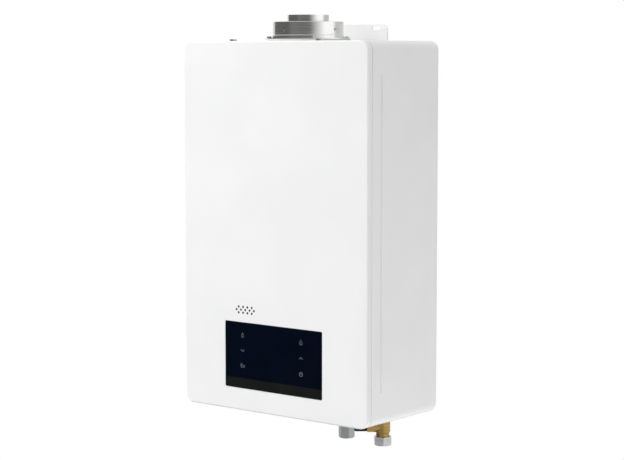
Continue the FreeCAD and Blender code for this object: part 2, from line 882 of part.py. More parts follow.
def glass_panel():
    body = new_body("glass_panel", y="case_front - glass_proud", z="glass_mid")
    pane = new_sketch(body, "XZ_Plane", "-glass_thickness")
    rounded_rectangle(pane, "glass_width", "glass_height", "glass_corner")
    pad(body, pane, "glass_thickness")
    chamfer(body, "glass_chamfer", lies_at("y", 0))
    keep(body, "glass_panel")


def display_frame():
    body = new_body("display_frame", y="inner_front", z="glass_mid")
    plate = new_sketch(body, "XZ_Plane", "-frame_plate")
    rounded_rectangle(plate, "glass_width + 2 * frame_margin", "glass_height + 2 * frame_margin",
                      "glass_corner + frame_margin")
    pad(body, plate, "frame_plate")
    wall = new_sketch(body, "XZ_Plane", "-frame_plate")
    rounded_rectangle(wall, "glass_width", "glass_height", "glass_corner")
    pad(body, wall, "frame_wall_height", backwards=True)
    seat = new_sketch(body, "XZ_Plane")
    rounded_rectangle(seat, "glass_width + 2 * part_gap", "glass_height + 2 * part_gap", "glass_corner + part_gap")
    pocket(body, seat, "glass_seat")
    opening = new_sketch(body, "XZ_Plane")
    rounded_rectangle(opening, "glass_width - 2 * frame_ledge", "glass_height - 2 * frame_ledge", "glass_corner")
    pocket(body, opening, "frame_plate + frame_wall_height + sheet_gauge")
    keep(body, "display_frame")


def display_board():
    back = "frame_back + board_gauge"
    half_width = "glass_width / 2"
    board = block(f"-{half_width}", half_width, "frame_back", back,
                  "glass_mid - glass_height / 2", "glass_mid + glass_height / 2")
    pieces = [board]
    for side in (-1, 1):
        for row in (-1, 0, 1):
            pieces.append(rod("touch_pad_radius", "frame_back - inner_front - glass_seat + board_gauge / 2",
                              f"{side} * touch_pad_offset", "inner_front + glass_seat",
                              f"glass_mid + {row} * touch_pad_pitch + touch_pad_rise", "Y"))
    light = "glass_height / 4"
    pieces.append(block(f"-{light} * 1.2", f"{light} * 1.2", "inner_front + glass_seat + works_gap",
                        "frame_back + board_gauge / 2", f"glass_mid - {light}", f"glass_mid + {light}"))
    for side in (-1, 1):
        middle = f"{side} * glass_width / 4"
        pieces.append(block(f"{middle} - 4 * connector_height / 2", f"{middle} + 4 * connector_height / 2",
                            "frame_back + board_gauge / 2", "module_back",
                            "glass_mid - connector_height", "glass_mid + connector_height"))
    keep(fuse(*pieces), "display_board")


def speaker():
    body = new_body("speaker", x="-speaker_offset", y="inner_front", z="speaker_mid")
    rim = new_sketch(body, "XZ_Plane", "-speaker_depth / 3")
    slot(rim, "speaker_width", "speaker_height")
    pad(body, rim, "speaker_depth / 3")
    magnet = new_sketch(body, "XZ_Plane", "-speaker_depth / 3")
    circle(magnet, "speaker_height / 2 - works_gap")
    pad(body, magnet, "speaker_depth * 2 / 3", backwards=True)
    cone = new_sketch(body, "XZ_Plane")
    slot(cone, "speaker_width - 2 * works_gap / 2", "speaker_height - 2 * works_gap / 2")
    pocket(body, cone, "speaker_depth / 6")
    keep(body, "speaker")


# Flue.

def flue_gasket():
    keep(cut(tube("flange_radius", "collar_radius - collar_wall", "gasket_height", "0", "works_mid", "case_top"),
             *flange_spots("flange_screw_radius + run_gap", "gasket_height", "case_top")), "flue_gasket")


def flange_places():
    spot = "flange_screw_circle * sqrt(0.5)"
    return [(f"{x} * {spot}", f"works_mid + {y} * {spot}") for x in (-1, 1) for y in (-1, 1)]


def flange_spots(radius, length, z):
    """Rods at the four flange screws."""
    return [rod(radius, length, x, y, z) for x, y in flange_places()]


def flue_collar():
    body = new_body("flue_collar", y="works_mid", z="case_top + gasket_height")
    inner = "collar_radius - collar_wall"
    top = "collar_rise - gasket_height"
    turned(body, [
        (inner, "0"), ("flange_radius", "0"), ("flange_radius", "flange_gauge"),
        ("collar_radius + collar_band", "flange_gauge"), ("collar_radius + collar_band", "collar_band_height"),
        ("collar_radius", "collar_band_height + collar_band"), ("collar_radius", f"{top} - collar_wall / 2"),
        ("collar_radius - collar_wall / 2", top), (inner, top)])
    lock = new_sketch(body, "YZ_Plane", "collar_radius + collar_band")
    circle(lock, "lock_hole_radius", "-lock_hole_shift", "lock_hole_rise - gasket_height")
    hole = pocket(body, lock, "2 * collar_wall + collar_band")
    pattern_around(body, hole, "4")
    screws = new_sketch(body, "XY_Plane", "flange_gauge")
    spot = "flange_screw_circle * sqrt(0.5)"
    for x in (-1, 1):
        for y in (-1, 1):
            circle(screws, "flange_screw_radius + run_gap", f"{x} * {spot}", f"{y} * {spot}")
    pocket(body, screws, "2 * flange_gauge")
    keep(body, "flue_collar")


def flange_screws():
    head = "case_top + gasket_height + flange_gauge"
    shank = "gasket_height + flange_gauge + 4 * sheet_gauge"
    head_radius, head_height = "2.2 * flange_screw_radius", "1.4 * flange_screw_radius"
    heads = flange_spots(head_radius, head_height, head)
    shanks = flange_spots("flange_screw_radius", f"{shank} + run_gap", f"{head} - ({shank})")
    screws = [cut(fuse(*pair), *cross_recess(x, y, f"{head} + {head_height}", head_radius))
              for pair, (x, y) in zip(zip(heads, shanks), flange_places())]
    keep(group(*screws), "flange_screws")


def flue_pipe():
    body = new_body("flue_pipe", y="works_mid", z="hood_top")
    bore = "pipe_radius - pipe_wall"
    top = "case_top + pipe_rise - hood_top"
    turned(body, [
        (bore, "0"), ("pipe_radius", "0"), ("pipe_radius", "neck_height"),
        ("pipe_radius + pipe_stop", "neck_height"), ("pipe_radius + pipe_stop", "neck_height + pipe_stop / 2"),
        ("pipe_radius", "neck_height + pipe_stop"), ("pipe_radius", top), (bore, top)])
    keep(body, "flue_pipe")


def hood_section(body, level, inset):
    sketch = new_sketch(body, "XY_Plane", level)
    half_depth = "(works_back - works_front) / 2"
    return rectangle(sketch, f"-works_half + {inset}", f"works_half - ({inset})",
                     f"-{half_depth} + {inset}", f"{half_depth} - ({inset})")


def loft(body, kind, first, last):
    feature = body.newObject(f"PartDesign::{kind}Loft", body.Name + "_loft")
    feature.Profile = first
    feature.Sections = [last]
    feature.Ruled = True
    return feature


def flue_hood():
    body = new_body("flue_hood", y="works_mid", z="chamber_top")
    skirt = "hood_height - hood_slope"
    ceiling = "hood_height - hood_wall"
    pad(body, hood_section(body, "0", "0"), skirt)
    loft(body, "Additive", hood_section(body, skirt, "0"), hood_section(body, "hood_height", "hood_slope"))
    neck = new_sketch(body, "XY_Plane", "hood_height")
    circle(neck, "neck_radius_out")
    pad(body, neck, "neck_height")
    pocket(body, hood_section(body, "0", "hood_wall"), skirt, forwards=True)
    loft(body, "Subtractive", hood_section(body, skirt, "hood_wall"), hood_section(body, ceiling, "hood_slope"))
    bore = new_sketch(body, "XY_Plane", "hood_height + neck_height")
    circle(bore, "pipe_radius + run_gap")
    pocket(body, bore, "neck_height + 2 * hood_wall")
    keep(body, "flue_hood")


# Burner, chamber and water coil.

def chamber_outline(sketch, inset):
    rounded_rectangle(sketch, f"2 * works_half - 2 * ({inset})", f"works_back - works_front - 2 * ({inset})",
                      f"chamber_corner - ({inset})")


def combustion_chamber():
    body = new_body("combustion_chamber", y="works_mid", z="burner_top")
    ring = new_sketch(body, "XY_Plane")
    chamber_outline(ring, "0")
    chamber_outline(ring, "works_wall")
    pad(body, ring, "chamber_height")
    for side, inwards in (("works_half", False), ("-works_half", True)):
        holes = new_sketch(body, "YZ_Plane", side)
        for index in range(4):
            circle(holes, "tube_radius + run_gap", f"tube_first + {index} * tube_pitch - works_mid",
                   "chamber_height - fin_height / 2")
        pocket(body, holes, "2 * works_wall", forwards=inwards)
    keep(body, "combustion_chamber")


def exchanger_fins():
    front = "works_front + works_wall + part_gap"
    back = "works_back - works_wall - part_gap"
    fin = cut(block("-fin_gauge / 2", "fin_gauge / 2", front, back, "fin_bottom", "chamber_top"),
              *[rod("tube_radius + run_gap", "2 * fin_gauge", "-fin_gauge", f"tube_first + {index} * tube_pitch",
                    "fin_mid", "X") for index in range(4)])
    doc.recompute()
    room = size("works_half") - size("chamber_corner") - size("fin_gauge")
    count = int(room // size("fin_pitch"))
    copies = []
    for index in range(-count, count + 1):
        copy = fin.Shape.copy()
        copy.translate(Vector(index * size("fin_pitch"), 0, 0))
        copies.append(copy)
    keep(solid_of(Part.Compound([solid for copy in copies for solid in copy.Solids]), "fins"), "exchanger_fins")


def exchanger_tubes():
    level = size("fin_mid")
    pitch = size("tube_pitch")
    rows = [size("tube_first") + index * pitch for index in range(4)]
    start = -size("works_half") - size("tube_stub")
    turn = size("works_half") + size("tube_stub") + pitch / 2
    points = [(start, rows[0], level), (turn, rows[0], level), (turn, rows[1], level), (-turn, rows[1], level),
              (-turn, rows[2], level), (turn, rows[2], level), (turn, rows[3], level), (start, rows[3], level)]
    shape = bent_tube(points, pitch / 2, size("tube_radius"), size("tube_wall"))
    keep(solid_of(shape, "serpentine"), "exchanger_tubes")


def inlet_coil():
    side = size("coil_side")
    front = size("works_front") - size("tube_radius") - size("part_gap")
    back = size("works_back") + size("tube_radius") + size("part_gap")
    levels = [size("burner_top") + size("coil_rise") + turn * size("coil_pitch") for turn in range(3)]
    riser = -size("riser_side")
    points = [(size("cold_x"), size("inlet_y"), size("cold_joint")),
              (size("cold_x"), size("inlet_y"), levels[0]),
              (side, size("inlet_y"), levels[0])]
    for level, above in zip(levels, levels[1:]):
        points += [(side, front, level), (-side, front, level), (-side, back, level), (side, back, above)]
    points += [(side, front, levels[2]), (-side, front, levels[2]),
               (riser, size("tube_first"), levels[2]),
               (riser, size("tube_first"), size("fin_mid")),
               (-size("works_half") - size("tube_stub"), size("tube_first"), size("fin_mid"))]
    shape = bent_tube(points, size("bend_radius"), size("tube_radius"), size("tube_wall"))
    keep(solid_of(shape, "coil"), "inlet_coil")


def hot_pipe():
    riser = -size("riser_side")
    level = size("fin_mid")
    points = [(-size("works_half") - size("tube_stub"), size("tube_last"), level),
              (riser, size("tube_last"), level), (riser, size("tube_last"), size("hot_joint"))]
    shape = bent_tube(points, size("bend_radius"), size("tube_radius"), size("tube_wall"))
    keep(solid_of(shape, "hot_leg"), "hot_pipe")


def pipe_nut(x, y, z):
    """A hexagon nut over a nipple's end and the tube that stands on it."""
    lap = f"({z}) - pipe_nut_lap"
    return cut(hexagon("pipe_nut_across", "pipe_nut_lap + pipe_nut_cap", x, y, lap),
               rod("nipple_radius + run_gap", "pipe_nut_lap + run_gap", x, y, lap),
               rod("tube_radius + run_gap", "pipe_nut_lap + 2 * pipe_nut_cap", x, y, lap))


def pipe_nuts():
    keep(group(pipe_nut("cold_x", "inlet_y", "cold_joint"),
               pipe_nut("-riser_side", "tube_last", "hot_joint")), "pipe_nuts")


def burner_box():
    body = new_body("burner_box", y="works_mid", z="burner_floor")
    half_depth = "(works_back - works_front) / 2"
    base = new_sketch(body, "XY_Plane")
    rectangle(base, "-works_half", "works_half", f"-{half_depth}", half_depth)
    pad(body, base, "burner_height")
    inside = new_sketch(body, "XY_Plane", "works_wall")
    rectangle(inside, "-works_half + works_wall", "works_half - works_wall",
              f"-{half_depth} + works_wall", f"{half_depth} - works_wall")
    pocket(body, inside, "burner_height", forwards=True)
    air = new_sketch(body, "XY_Plane")
    rectangle(air, "fan_x + scroll_reach - outlet_width", "fan_x + scroll_reach",
              "fan_front + scroll_wall - works_mid", "fan_front + fan_depth - scroll_wall - works_mid")
    pocket(body, air, "2 * works_wall", forwards=True)
    jets = new_sketch(body, "XZ_Plane", half_depth)
    slot(jets, "2 * manifold_half - 4 * works_gap", "4 * nozzle_radius", "0", "manifold_rise")
    pocket(body, jets, "2 * works_wall")
    rods = new_sketch(body, "XZ_Plane", half_depth)
    for side in (-1, 1):
        circle(rods, "ceramic_radius + run_gap", f"{side} * bar_pitch / 2", "burner_height - 3 * ceramic_radius")
    pocket(body, rods, "2 * works_wall")
    keep(body, "burner_box")


def bar_places():
    """The middle of each burner bar across the burner box."""
    room = 2 * (size("works_half") - size("works_wall")) - size("bar_width") - 2 * size("works_gap")
    count = int(room // size("bar_pitch")) + 1
    return [(index - (count - 1) / 2) * size("bar_pitch") for index in range(count)]


def burner_bars():
    body = new_body("burner_bar", y="works_front + works_wall + part_gap", z="burner_floor + bar_rise")
    section = new_sketch(body, "XZ_Plane")
    half = "bar_width / 2"
    polygon(section, [(f"-{half}", "bar_height * 0.1"), (f"-{half} * 0.6", "0"), (f"{half} * 0.6", "0"),
                      (half, "bar_height * 0.1"), (half, "bar_height * 0.3"), (f"{half} * 0.4", "bar_height * 0.5"),
                      (f"{half} * 0.8", "bar_height * 0.8"), (f"{half} * 0.8", "bar_height"),
                      (f"-{half} * 0.8", "bar_height"), (f"-{half} * 0.8", "bar_height * 0.8"),
                      (f"-{half} * 0.4", "bar_height * 0.5"), (f"-{half}", "bar_height * 0.3")])
    pad(body, section, "works_back - works_front - 2 * works_wall - 2 * part_gap", backwards=True)
    throat = new_sketch(body, "XZ_Plane")
    circle(throat, "2 * nozzle_radius + part_gap", "0", "manifold_rise - bar_rise")
    pocket(body, throat, "5 * nozzle_length")
    doc.recompute()
    copies = []
    for x in bar_places():
        copy = body.Shape.copy()
        copy.translate(Vector(x, 0, 0))
        copies += copy.Solids
    keep(solid_of(Part.Compound(copies), "bars"), "burner_bars")


# Gas train.

def gas_manifold():
    half_height = "manifold_height / 2"
    body = new_body("gas_manifold", y="works_front", z="manifold_z")
    bar = new_sketch(body, "XZ_Plane")
    rectangle(bar, "-manifold_half", "manifold_half", f"-{half_height}", half_height)
    pad(body, bar, "manifold_depth")
    chamfer(body, "manifold_depth / 4", lambda edge: lies_at("y", -size("manifold_depth"))(edge)
            and runs_along("x")(edge))
    entry = new_sketch(body, "YZ_Plane", "manifold_half")
    circle(entry, "riser_radius - riser_wall", "-manifold_depth / 2")
    pocket(body, entry, "manifold_half")
    keep(body, "gas_manifold")


def gas_nozzles():
    nozzle = fuse(rod("nozzle_radius", "nozzle_length", "0", "works_front", "manifold_z", "Y"),
                  hexagon("3 * nozzle_radius", "nozzle_radius", "0", "works_front", "manifold_z", "Y"))
    doc.recompute()
    reach = size("manifold_half") - 3 * size("works_gap")
    copies = []
    for x in bar_places():
        if abs(x) < reach:
            copy = nozzle.Shape.copy()
            copy.translate(Vector(x, 0, 0))
            copies += copy.Solids
    keep(solid_of(Part.Compound(copies), "nozzles"), "gas_nozzles")


def gas_riser():
    x = size("gas_riser_x")
    level = size("manifold_z")
    points = [(size("gas_x") + size("valve_width") / 2, size("inlet_y"), size("valve_outlet")),
              (x, size("inlet_y"), size("valve_outlet")), (x, size("inlet_y"), level),
              (x, size("manifold_y"), level), (size("manifold_half"), size("manifold_y"), level)]
    shape = bent_tube(points, size("riser_bend"), size("riser_radius"), size("riser_wall"))
    keep(solid_of(shape, "riser"), "gas_riser")


def hex_bar(body, level, across, turn, length):
    """A hexagonal bar down from a level, with its lower end bevelled."""
    radius = f"({across}) / sqrt(3)"
    bottom = f"({level}) - ({length})"
    bevel_top = f"{bottom} + {radius} - ({across}) / 2"
    outline = new_sketch(body, "XY_Plane", level)
    polygon(outline, [(f"{radius} * cos({60 * corner} + {turn})", f"{radius} * sin({60 * corner} + {turn})")
                      for corner in range(6)])
    pad(body, outline, length, backwards=True)
    profile = new_sketch(body, "XZ_Plane")
    polygon(profile, [(f"({across}) / 2", bottom), (f"{radius} + 1", bottom), (f"{radius} + 1", f"{bevel_top} + 1"),
                      (radius, bevel_top)])
    bevel = body.newObject("PartDesign::Groove", body.Name + "_bevel")
    bevel.Profile = profile
    bevel.ReferenceAxis = (profile, ["V_Axis"])
    bevel.Angle = 360


def gas_inlet():
    body = new_body("gas_inlet", "gas_x", "inlet_y", "case_bottom")
    turned(body, [
        ("gas_bore", "-flange_height"), ("flange_across / 2", "-flange_height"), ("flange_across / 2", "0"),
        ("nipple_radius", "0"), ("nipple_radius", "nipple_height - sheet_gauge"),
        ("gas_bore", "nipple_height - sheet_gauge")])
    hex_bar(body, "-flange_height", "gas_across", "gas_turn", "gas_drop - flange_height")
    passage = new_sketch(body, "XY_Plane")
    circle(passage, "gas_bore")
    pocket(body, passage, "gas_drop")
    thread = new_sketch(body, "XY_Plane", "-gas_drop")
    circle(thread, "gas_thread_radius")
    pocket(body, thread, "gas_thread_length", forwards=True)
    keep(body, "gas_inlet")


def gas_valve():
    body = new_body("gas_valve", "gas_x", "inlet_y", "valve_floor")
    base = new_sketch(body, "XY_Plane")
    rectangle(base, "-valve_width / 2", "valve_width / 2", "-valve_depth / 2", "valve_depth / 2")
    pad(body, base, "valve_height")
    fillet(body, "valve_corner", runs_along("z"))
    socket = new_sketch(body, "XY_Plane")
    circle(socket, "nipple_radius + run_gap")
    pocket(body, socket, "case_bottom + nipple_height - sheet_gauge - valve_floor + run_gap", forwards=True)
    wells = new_sketch(body, "XY_Plane", "valve_height")
    for side in (-1, 1):
        circle(wells, "plunger_radius + run_gap", "0", f"{side} * valve_depth / 4")
    pocket(body, wells, "plunger_seat + run_gap")
    outlet = new_sketch(body, "YZ_Plane", "valve_width / 2")
    circle(outlet, "riser_radius - riser_wall", "0", "outlet_rise")
    pocket(body, outlet, "valve_width / 2")
    keep(body, "gas_valve")


def solenoid(y):
    """A wound coil between two plates, with a blind well for its plunger."""
    well = "solenoid_height - solenoid_plate"
    half = "solenoid_radius + 0.5"
    plates = [block(f"gas_x - ({half})", f"gas_x + {half}", f"{y} - ({half})", f"{y} + {half}", low, high)
              for low, high in (("valve_top", "valve_top + solenoid_plate"),
                                ("valve_top + solenoid_height - solenoid_plate", "valve_top + solenoid_height"))]
    return cut(fuse(rod("solenoid_radius", "solenoid_height", "gas_x", y, "valve_top"), *plates),
               rod("plunger_radius + run_gap", well, "gas_x", y, "valve_top"))


def solenoids():
    keep(solenoid("inlet_y + valve_depth / 4"), "shutoff_coil")
    keep(solenoid("inlet_y - valve_depth / 4"), "modulating_coil")


def plungers():
    for label, side in (("shutoff_plunger", 1), ("modulating_plunger", -1)):
        keep(rod("plunger_radius", "plunger_length", "gas_x", f"inlet_y + {side} * valve_depth / 4",
                 "valve_top - plunger_seat"), label)


# Water fittings.

def lock_nuts():
    nuts = []
    for x, y in (("cold_x", "inlet_y"), ("gas_x", "inlet_y"), ("-riser_side", "tube_last")):
        nuts.append(cut(hexagon("flange_across", "lock_nut_height", x, y, "inner_floor"),
                        rod("nipple_radius + run_gap", "lock_nut_height", x, y, "inner_floor")))
    keep(group(*nuts), "lock_nuts")


def cold_inlet_tee():
    body = new_body("cold_inlet_tee", "cold_x", "inlet_y", "case_bottom",
                    turn=Rotation(Vector(0, 0, 1), size("branch_turn")))
    neck_end = "-tee_drop - neck_show - union_top_wall - run_gap"
    tail = "-tee_drop - neck_show - union_top_wall - union_recess_height + washer_height + run_gap"
    turned(body, [
        ("water_bore", tail), ("union_recess - part_gap", tail), ("union_recess - part_gap", neck_end),
        ("neck_radius", neck_end), ("neck_radius", "-tee_drop - neck_show + run_gap"),
        ("neck_collar", "-tee_drop - neck_show + run_gap"), ("neck_collar", "-tee_drop"),
        ("tee_radius", "-tee_drop + sheet_gauge"), ("tee_radius", "-flange_height"),
        ("flange_across / 2", "-flange_height"), ("flange_across / 2", "0"), ("nipple_radius", "0"),
        ("nipple_radius", "nipple_height"), ("water_bore", "nipple_height")])
    branch = new_sketch(body, "YZ_Plane", "-branch_reach")
    circle(branch, "branch_radius", "0", "-branch_drop")
    pad(body, branch, "branch_reach")
    drain = new_sketch(body, "YZ_Plane", "-branch_reach")
    circle(drain, "branch_bore", "0", "-branch_drop")
    pocket(body, drain, "branch_reach", forwards=True)
    passage = new_sketch(body, "XY_Plane", "nipple_height")
    circle(passage, "water_bore")
    pocket(body, passage, "nipple_height + tee_drop + neck_show + union_height")
    keep(body, "cold_inlet_tee")


def cold_union_nut():
    body = new_body("cold_union_nut", "cold_x", "inlet_y", "union_top")
    hex_bar(body, "0", "union_across", "union_turn", "union_height")
    hole = new_sketch(body, "XY_Plane")
    circle(hole, "neck_radius + run_gap")
    pocket(body, hole, "union_height")
    recess = new_sketch(body, "XY_Plane", "-union_top_wall")
    circle(recess, "union_recess")
    pocket(body, recess, "union_recess_height")
    thread = new_sketch(body, "XY_Plane", "-union_height")
    circle(thread, "union_bore")
    pocket(body, thread, "union_height - union_top_wall - union_recess_height", forwards=True)
    keep(body, "cold_union_nut")


def union_washer():
    bottom = "union_top - union_top_wall - union_recess_height + run_gap"
    keep(tube("union_recess - part_gap", "water_bore", "washer_height", "cold_x", "inlet_y", bottom), "union_washer")


def drain_body(name):
    """A body on the mouth of the drain branch, with its own Z axis along the branch."""
    turn = Rotation(Vector(0, 0, 1), size("branch_turn")) * Rotation(Vector(0, 1, 0), -90)
    return new_body(name, "drain_x", "drain_y", "case_bottom - branch_drop", turn=turn)


def drain_knob():
    body = drain_body("drain_knob")
    turned(body, [
        ("0", "-plug_length"), ("branch_bore - run_gap", "-plug_length"), ("branch_bore - run_gap", "0"),
        ("knob_radius - sheet_gauge / 2", "0"), ("knob_radius", "sheet_gauge"),
        ("knob_radius", "knob_length - 2 * sheet_gauge"), ("knob_radius - 2 * sheet_gauge", "knob_length"),
        ("0", "knob_length")])
    flute = new_sketch(body, "XY_Plane", "knob_length")
    circle(flute, "knob_radius / 6", "knob_radius * 1.08")
    grip = pocket(body, flute, "knob_length * 0.7")
    pattern_around(body, grip, "10")
    keep(body, "drain_knob")


def filter_screen():
    body = drain_body("filter_screen")
    end, inside = "-plug_length - filter_length", "filter_radius - filter_wall"
    turned(body, [(inside, end), ("filter_radius", end), ("filter_radius", "-plug_length"), (inside, "-plug_length")])
    slits = new_sketch(body, "YZ_Plane", "filter_radius + 1")
    for index in range(4):
        at = f"{end} + filter_length * {(index + 0.7) / 4.6}"
        rectangle(slits, "-filter_radius / 3", "filter_radius / 3", at, f"{at} + filter_length / 10")
    pocket(body, slits, "2 * filter_radius + 2")
    keep(body, "filter_screen")


def flow_sensor():
    body = new_body("flow_sensor", "cold_x", "inlet_y", "sensor_floor")
    socket_top = "case_bottom + nipple_height - sensor_floor + run_gap"
    turned(body, [
        ("nipple_radius + run_gap", "0"), ("sensor_radius", "0"), ("sensor_radius", "sensor_height"),
        ("nipple_radius", "sensor_height"), ("nipple_radius", "sensor_height + nipple_height"),
        ("water_bore", "sensor_height + nipple_height"), ("water_bore", "sensor_height - sensor_shelf"),
        ("sensor_bore", "sensor_height - sensor_shelf"), ("sensor_bore", socket_top),
        ("nipple_radius + run_gap", socket_top)])
    saddle = new_sketch(body, "XZ_Plane", "sensor_bore + sheet_gauge")
    rectangle(saddle, "-sensor_radius / 2", "sensor_radius / 2", "sensor_height / 3", "sensor_height * 2 / 3")
    pad(body, saddle, "sensor_radius - sensor_bore")
    keep(body, "flow_sensor")


def hall_sensor():
    front = "inlet_y - sensor_radius - sheet_gauge"
    keep(fuse(block("cold_x - sensor_radius / 2", "cold_x + sensor_radius / 2", f"{front} - sensor_radius / 2", front,
                    "sensor_floor + sensor_height / 3", "sensor_floor + sensor_height * 2 / 3"),
              block("cold_x - sensor_radius / 4", "cold_x + sensor_radius / 4", f"{front} - sensor_radius * 0.4", front,
                    "sensor_floor + sensor_height * 2 / 3", "sensor_floor + sensor_height * 0.8")), "hall_sensor")


def straightener_floor():
    return "case_bottom + nipple_height + 2 * run_gap"


def flow_straightener():
    body = new_body("flow_straightener", "cold_x", "inlet_y", straightener_floor())
    wall = new_sketch(body, "XY_Plane")
    circle(wall, "sensor_bore - run_gap")
    circle(wall, "sensor_bore - run_gap - blade_gauge")
    pad(body, wall, "rotor_height / 2")
    hub = new_sketch(body, "XY_Plane")
    circle(hub, "rotor_hub")
    pad(body, hub, "rotor_height / 2")
    vane = new_sketch(body, "XY_Plane")
    rectangle(vane, "rotor_hub / 2", "sensor_bore - run_gap - blade_gauge / 2", "-blade_gauge / 2", "blade_gauge / 2")
    pattern_around(body, pad(body, vane, "rotor_height / 2"), "6")
    bearing = new_sketch(body, "XY_Plane", "rotor_height / 2")
    circle(bearing, "pin_radius + run_gap")
    pocket(body, bearing, "rotor_height / 4")
    keep(body, "flow_straightener")


def flow_rotor():
    floor = f"{straightener_floor()} + rotor_height / 2 + part_gap"
    body = new_body("flow_rotor", "cold_x", "inlet_y", floor)
    hub = new_sketch(body, "XY_Plane")
    circle(hub, "rotor_hub")
    pad(body, hub, "rotor_height")
    pivot = new_sketch(body, "XY_Plane", "rotor_height / 4")
    circle(pivot, "pin_radius")
    pad(body, pivot, "rotor_height / 2", backwards=True)
    profiles = []
    for level, degrees in (("0", "0"), ("rotor_height", "blade_turn")):
        section = new_sketch(body, "XY_Plane", level)
        section.setExpression("AttachmentOffset.Rotation.Angle", expression(degrees))
        rectangle(section, "rotor_hub / 2", "rotor_radius", "-blade_gauge / 2", "blade_gauge / 2")
        profiles.append(section)
    pattern_around(body, loft(body, "Additive", *profiles), "5")
    keep(body, "flow_rotor")


def hot_outlet():
    body = new_body("hot_outlet", "-riser_side", "tube_last", "case_bottom")
    end = "-flange_height - hot_thread_length"
    turned(body, [
        ("water_bore", end), ("thread_radius - thread_bevel", end), ("thread_radius", f"{end} + thread_bevel"),
        ("thread_radius", "-flange_height"),
        ("flange_across / 2", "-flange_height"), ("flange_across / 2", "0"), ("nipple_radius", "0"),
        ("nipple_radius", "nipple_height"), ("water_bore", "nipple_height")])
    keep(body, "hot_outlet")


# Fan.

def scroll_outline(extra, y):
    """The fan's spiral in the plane at y, grown outwards by extra: three arcs and a straight outlet."""
    step = size("scroll_step")
    radius = size("scroll_radius") + extra
    cx, cz = size("fan_x"), size("fan_z")
    right = cx + size("scroll_reach") + extra
    left = cx + size("scroll_reach") - size("outlet_width") - extra
    top = size("burner_floor")
    tongue = math.acos((left - cx) / radius)

    def spot(centre, reach, angle):
        return Vector(centre[0] + reach * math.cos(angle), y, centre[1] + reach * math.sin(angle))

    arcs = (((cx, cz), radius, tongue, math.pi),
            ((cx + step, cz), radius + step, math.pi, 1.5 * math.pi),
            ((cx + step, cz + step), radius + 2 * step, 1.5 * math.pi, 2 * math.pi))
    edges = []
    for centre, reach, begin, end in arcs:
        middle = (begin + end) / 2
        edges.append(Part.Arc(spot(centre, reach, begin), spot(centre, reach, middle),
                              spot(centre, reach, end)).toShape())
    corners = [spot(*arcs[2][:2], arcs[2][3]), Vector(right, y, top), Vector(left, y, top),
               spot(*arcs[0][:2], tongue)]
    edges += [Part.LineSegment(begin, end).toShape() for begin, end in zip(corners, corners[1:])]
    return Part.Face(Part.Wire(edges))


def fan_scroll():
    wall = size("scroll_wall")
    front = size("fan_front")
    depth = size("fan_depth")
    flange = size("fan_flange")
    right = size("fan_x") + size("scroll_reach")
    left = right - size("outlet_width")
    top = size("burner_floor")
    outside = scroll_outline(wall, front).extrude(Vector(0, depth, 0))
    lip = Part.makeBox(right - left + 2 * flange, depth, 2 * wall, Vector(left - flange, front, top - 2 * wall))
    inside = scroll_outline(0, front + wall).extrude(Vector(0, depth - 2 * wall, 0))
    centre = Vector(size("fan_x"), front, size("fan_z"))
    eye = Part.makeCylinder(size("eye_radius"), 4 * wall, centre + Vector(0, depth - 2 * wall, 0), Vector(0, 1, 0))
    shaft = Part.makeCylinder(2 * size("shaft_radius"), 4 * wall, centre - Vector(0, wall, 0), Vector(0, 1, 0))
    shape = outside.fuse(lip).cut(inside).cut(eye).cut(shaft).removeSplitter()
    keep(solid_of(shape.Solids[0], "scroll"), "fan_scroll")


def fan_motor():
    body = new_body("fan_motor", "fan_x", "fan_front", "fan_z", turn=Rotation(Vector(1, 0, 0), 90))
    turned(body, [
        ("shaft_radius + run_gap", "0"), ("motor_radius + works_gap", "0"), ("motor_radius + works_gap", "scroll_wall"),
        ("motor_radius", "scroll_wall"), ("motor_radius", "motor_length - works_gap"),
        ("motor_radius - works_gap", "motor_length"), ("0", "motor_length"), ("0", "motor_length - works_gap"),
        ("shaft_radius + run_gap", "motor_length - works_gap")])
    keep(body, "fan_motor")


def fan_impeller():
    front = "fan_front + scroll_wall + impeller_gap / 2"
    body = new_body("fan_impeller", "fan_x", front, "fan_z", turn=AXIS_TURNS["Y"])
    disc = new_sketch(body, "XY_Plane")
    circle(disc, "impeller_radius")
    pad(body, disc, "scroll_wall")
    hub = new_sketch(body, "XY_Plane")
    circle(hub, "3 * shaft_radius")
    pad(body, hub, "impeller_length / 3")
    shaft = new_sketch(body, "XY_Plane")
    circle(shaft, "shaft_radius")
    pad(body, shaft, "impeller_gap / 2 + scroll_wall + motor_length - 2 * works_gap", backwards=True)
    inner = "impeller_radius - blade_depth"
    ring = new_sketch(body, "XY_Plane", "impeller_length - scroll_wall")
    circle(ring, "impeller_radius")
    circle(ring, inner)
    vane = new_sketch(body, "XY_Plane", "scroll_wall / 2")
    polygon(vane, [(f"{inner} + 0.3", "-0.5"), ("impeller_radius - 1.2", "blade_depth / 2"),
                   ("impeller_radius - 1.5", "blade_depth / 2 + 1"), (inner, "0.5")])
    pattern_around(body, pad(body, vane, "impeller_length - scroll_wall"), "blade_count")
    pad(body, ring, "scroll_wall")
    keep(body, "fan_impeller")


# Electrics.

def control_tray():
    body = new_body("control_tray", y="tray_front", z="tray_floor")
    back = new_sketch(body, "XZ_Plane", "-tray_depth")
    rectangle(back, "tray_left", "tray_right", "0", "tray_height")
    pad(body, back, "tray_depth")
    inside = new_sketch(body, "XZ_Plane")
    rectangle(inside, "tray_left + tray_wall", "tray_right - tray_wall", "tray_wall", "tray_height - tray_wall")
    pocket(body, inside, "tray_depth - tray_wall")
    keep(body, "control_tray")


